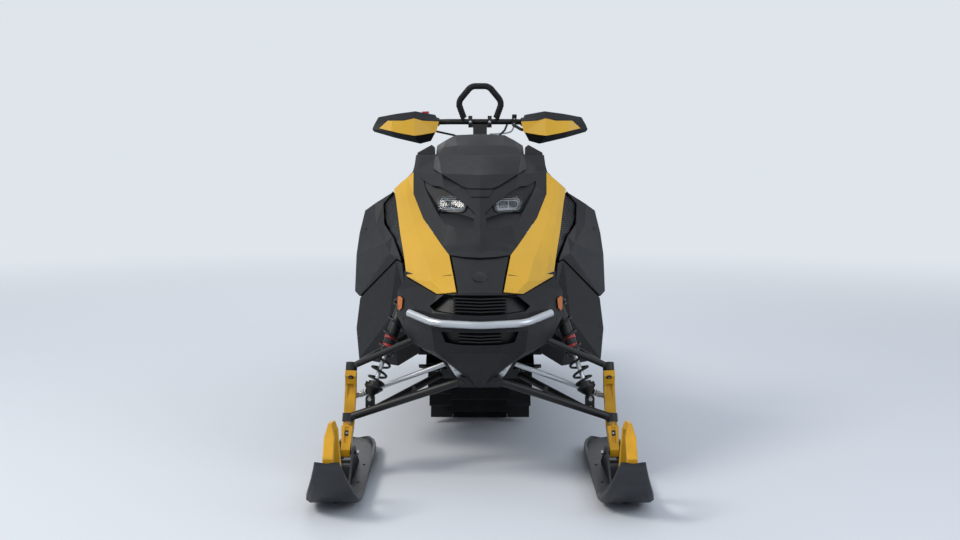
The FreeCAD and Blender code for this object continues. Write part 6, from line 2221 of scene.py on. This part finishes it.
@dataclass
class Studio:
    """The pale floor with its upturned rim, the soft lamps and the camera."""

    focal_px: float = 1400.0
    image_px: float = 960.0
    camera_ahead_mm: float = 4150.0
    camera_height_mm: float = 1185.0
    pitch_deg: float = 5.5
    floor_radius: float = 13.0
    rim_radius: float = 6.0
    paint: str = "#DCE1E8"
    room_tone: str = "#DFE5EB"
    room_light: str = "#E6ECF4"

    def seen(self, tree: NodeTree) -> NodeSocket:
        """Says where the eye looks, straight on or through metal's shine and glass.

        Args:
            tree: the node tree that gets the nodes.

        Returns:
            The socket, at 1 for such a ray.
        """
        path = add_node(tree, "ShaderNodeLightPath")
        first = add_node(tree, "ShaderNodeMath", {"operation": "MAXIMUM"},
                         {0: path.outputs["Is Camera Ray"], 1: path.outputs["Is Transmission Ray"]})
        return add_node(tree, "ShaderNodeMath", {"operation": "MAXIMUM"},
                        {0: first.outputs[0], 1: path.outputs["Is Glossy Ray"]}).outputs[0]

    def camera(self) -> None:
        """Puts the camera at the photograph's viewing angle."""
        data = bpy.data.cameras.new("photo_camera")
        data.lens = data.sensor_width * self.focal_px / self.image_px
        camera = self.stand("photo_camera", data)
        camera.location = at(0, -self.camera_ahead_mm, self.camera_height_mm)
        camera.rotation_euler = (math.radians(90 - self.pitch_deg), 0, 0)
        bpy.context.scene.camera = camera

    def stand(self, name: str, data: bpy.types.ID) -> Object:
        """Puts a thing of the studio in the scene.

        Args:
            name: its name.
            data: its camera, lamp or mesh.

        Returns:
            The thing.
        """
        thing = bpy.data.objects.new(name, data)
        bpy.context.scene.collection.objects.link(thing)
        return thing

    def floor_paint(self) -> Material:
        """Mixes the floor's matt paint.

        Returns:
            The material.
        """
        material = bpy.data.materials.new("pale_floor_paint")
        material.use_nodes = True
        tree = material.node_tree
        tree.nodes.clear()
        shader = add_node(tree, "ShaderNodeBsdfPrincipled",
                          {"Base Color": linear(self.paint), "Roughness": 0.8, "Specular IOR Level": 0.1})
        # Far out, the eye sees the room's plain pale tone instead of the floor's own shade.
        place = add_node(tree, "ShaderNodeTexCoord").outputs["Object"]
        reach = add_node(tree, "ShaderNodeVectorMath", {"operation": "LENGTH"}, {0: place})
        far = add_node(tree, "ShaderNodeMapRange", {"interpolation_type": "SMOOTHSTEP", "From Min": 2.6,
                                                    "From Max": 9.0}, {"Value": reach.outputs["Value"]})
        share = add_node(tree, "ShaderNodeMath", {"operation": "MULTIPLY"},
                         {0: self.seen(tree), 1: far.outputs["Result"]})
        tone = add_node(tree, "ShaderNodeEmission", {"Color": linear(self.room_tone), "Strength": 1.0})
        shown = add_node(tree, "ShaderNodeMixShader", {},
                         {0: share.outputs[0], 1: shader.outputs[0], 2: tone.outputs[0]})
        add_node(tree, "ShaderNodeOutputMaterial", {}, {"Surface": shown.outputs[0]})
        return material

    def floor(self) -> None:
        """Lays a pale round floor whose rim turns up as the backdrop."""
        profile = [(0.01, 0.0), (self.floor_radius, 0.0)]
        for k in range(1, 13):
            t = math.radians(5 * k)
            profile.append((self.floor_radius + self.rim_radius * math.sin(t),
                            self.rim_radius * (1 - math.cos(t))))
        shape = Shape()
        shape.skin([[Vector((radius * math.cos(a), radius * math.sin(a), height))
                     for a in (2 * math.pi * k / 96 for k in range(96))] for radius, height in profile])
        shape.faces.pop()
        mesh = bpy.data.meshes.new("studio_floor")
        mesh.from_pydata([tuple(p) for p in shape.points], [], shape.faces)
        mesh.shade_smooth()
        mesh.materials.append(self.floor_paint())
        self.stand("studio_floor", mesh)

    def lamp(self, name: str, place: Point, aim: Point, size: float, watts: float, colour: str) -> None:
        """Hangs one soft lamp.

        Args:
            name: its name.
            place: where it hangs, in metres.
            aim: what it points at, in metres.
            size: its width, in metres.
            watts: its power.
            colour: its colour in hex.
        """
        data = bpy.data.lights.new(name, "AREA")
        data.shape = "DISK"
        data.size = size
        data.energy = watts
        data.color = linear(colour)[:3]
        lamp = self.stand(name, data)
        lamp.location = place
        lamp.rotation_euler = (Vector(aim) - Vector(place)).to_track_quat("-Z", "Y").to_euler()

    def world(self) -> None:
        """Gives the even light of a pale room."""
        world = bpy.data.worlds.new("pale_room")
        bpy.context.scene.world = world
        world.use_nodes = True
        tree = world.node_tree
        tree.nodes.clear()
        light = add_node(tree, "ShaderNodeBackground", {"Color": linear(self.room_light), "Strength": 0.7})
        tone = add_node(tree, "ShaderNodeBackground", {"Color": linear(self.room_tone), "Strength": 1.0})
        shown = add_node(tree, "ShaderNodeMixShader", {},
                         {0: self.seen(tree), 1: light.outputs[0], 2: tone.outputs[0]})
        add_node(tree, "ShaderNodeOutputWorld", {}, {"Surface": shown.outputs[0]})

    def build(self) -> None:
        """Sets the whole studio."""
        self.camera()
        self.floor()
        self.world()
        self.lamp("key_softbox", (-4.2, -3.2, 5.2), (0, 0, 0.6), 2.4, 210.0, "#FFF8EE")
        self.lamp("fill_softbox", (4.2, -4.0, 3.2), (0, -0.4, 0.6), 3.2, 60.0, "#EEF4FF")
        self.lamp("back_softbox", (-1.0, 5.2, 4.4), (0, 0.4, 0.6), 3.4, 60.0, "#FFFFFF")
        bpy.context.scene.view_settings.view_transform = "Standard"


def main() -> None:
    """Builds the dressed snowmobile and its studio."""
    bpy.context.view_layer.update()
    parts = [Hood(), Nose(), Bodywork(), Lamps(), FrontSuspension(), Chassis(), Skid(), Saddle(), Steering()]
    parts += [SkiLeg(title="ski leg " + side.word, side=side) for side in Side]
    for part in parts:
        for piece in part.build():
            LOG.info("%s: %s, %d faces", part.title, piece.name, len(piece.data.polygons))
    Studio().build()


if __name__ == "__main__":
    main()
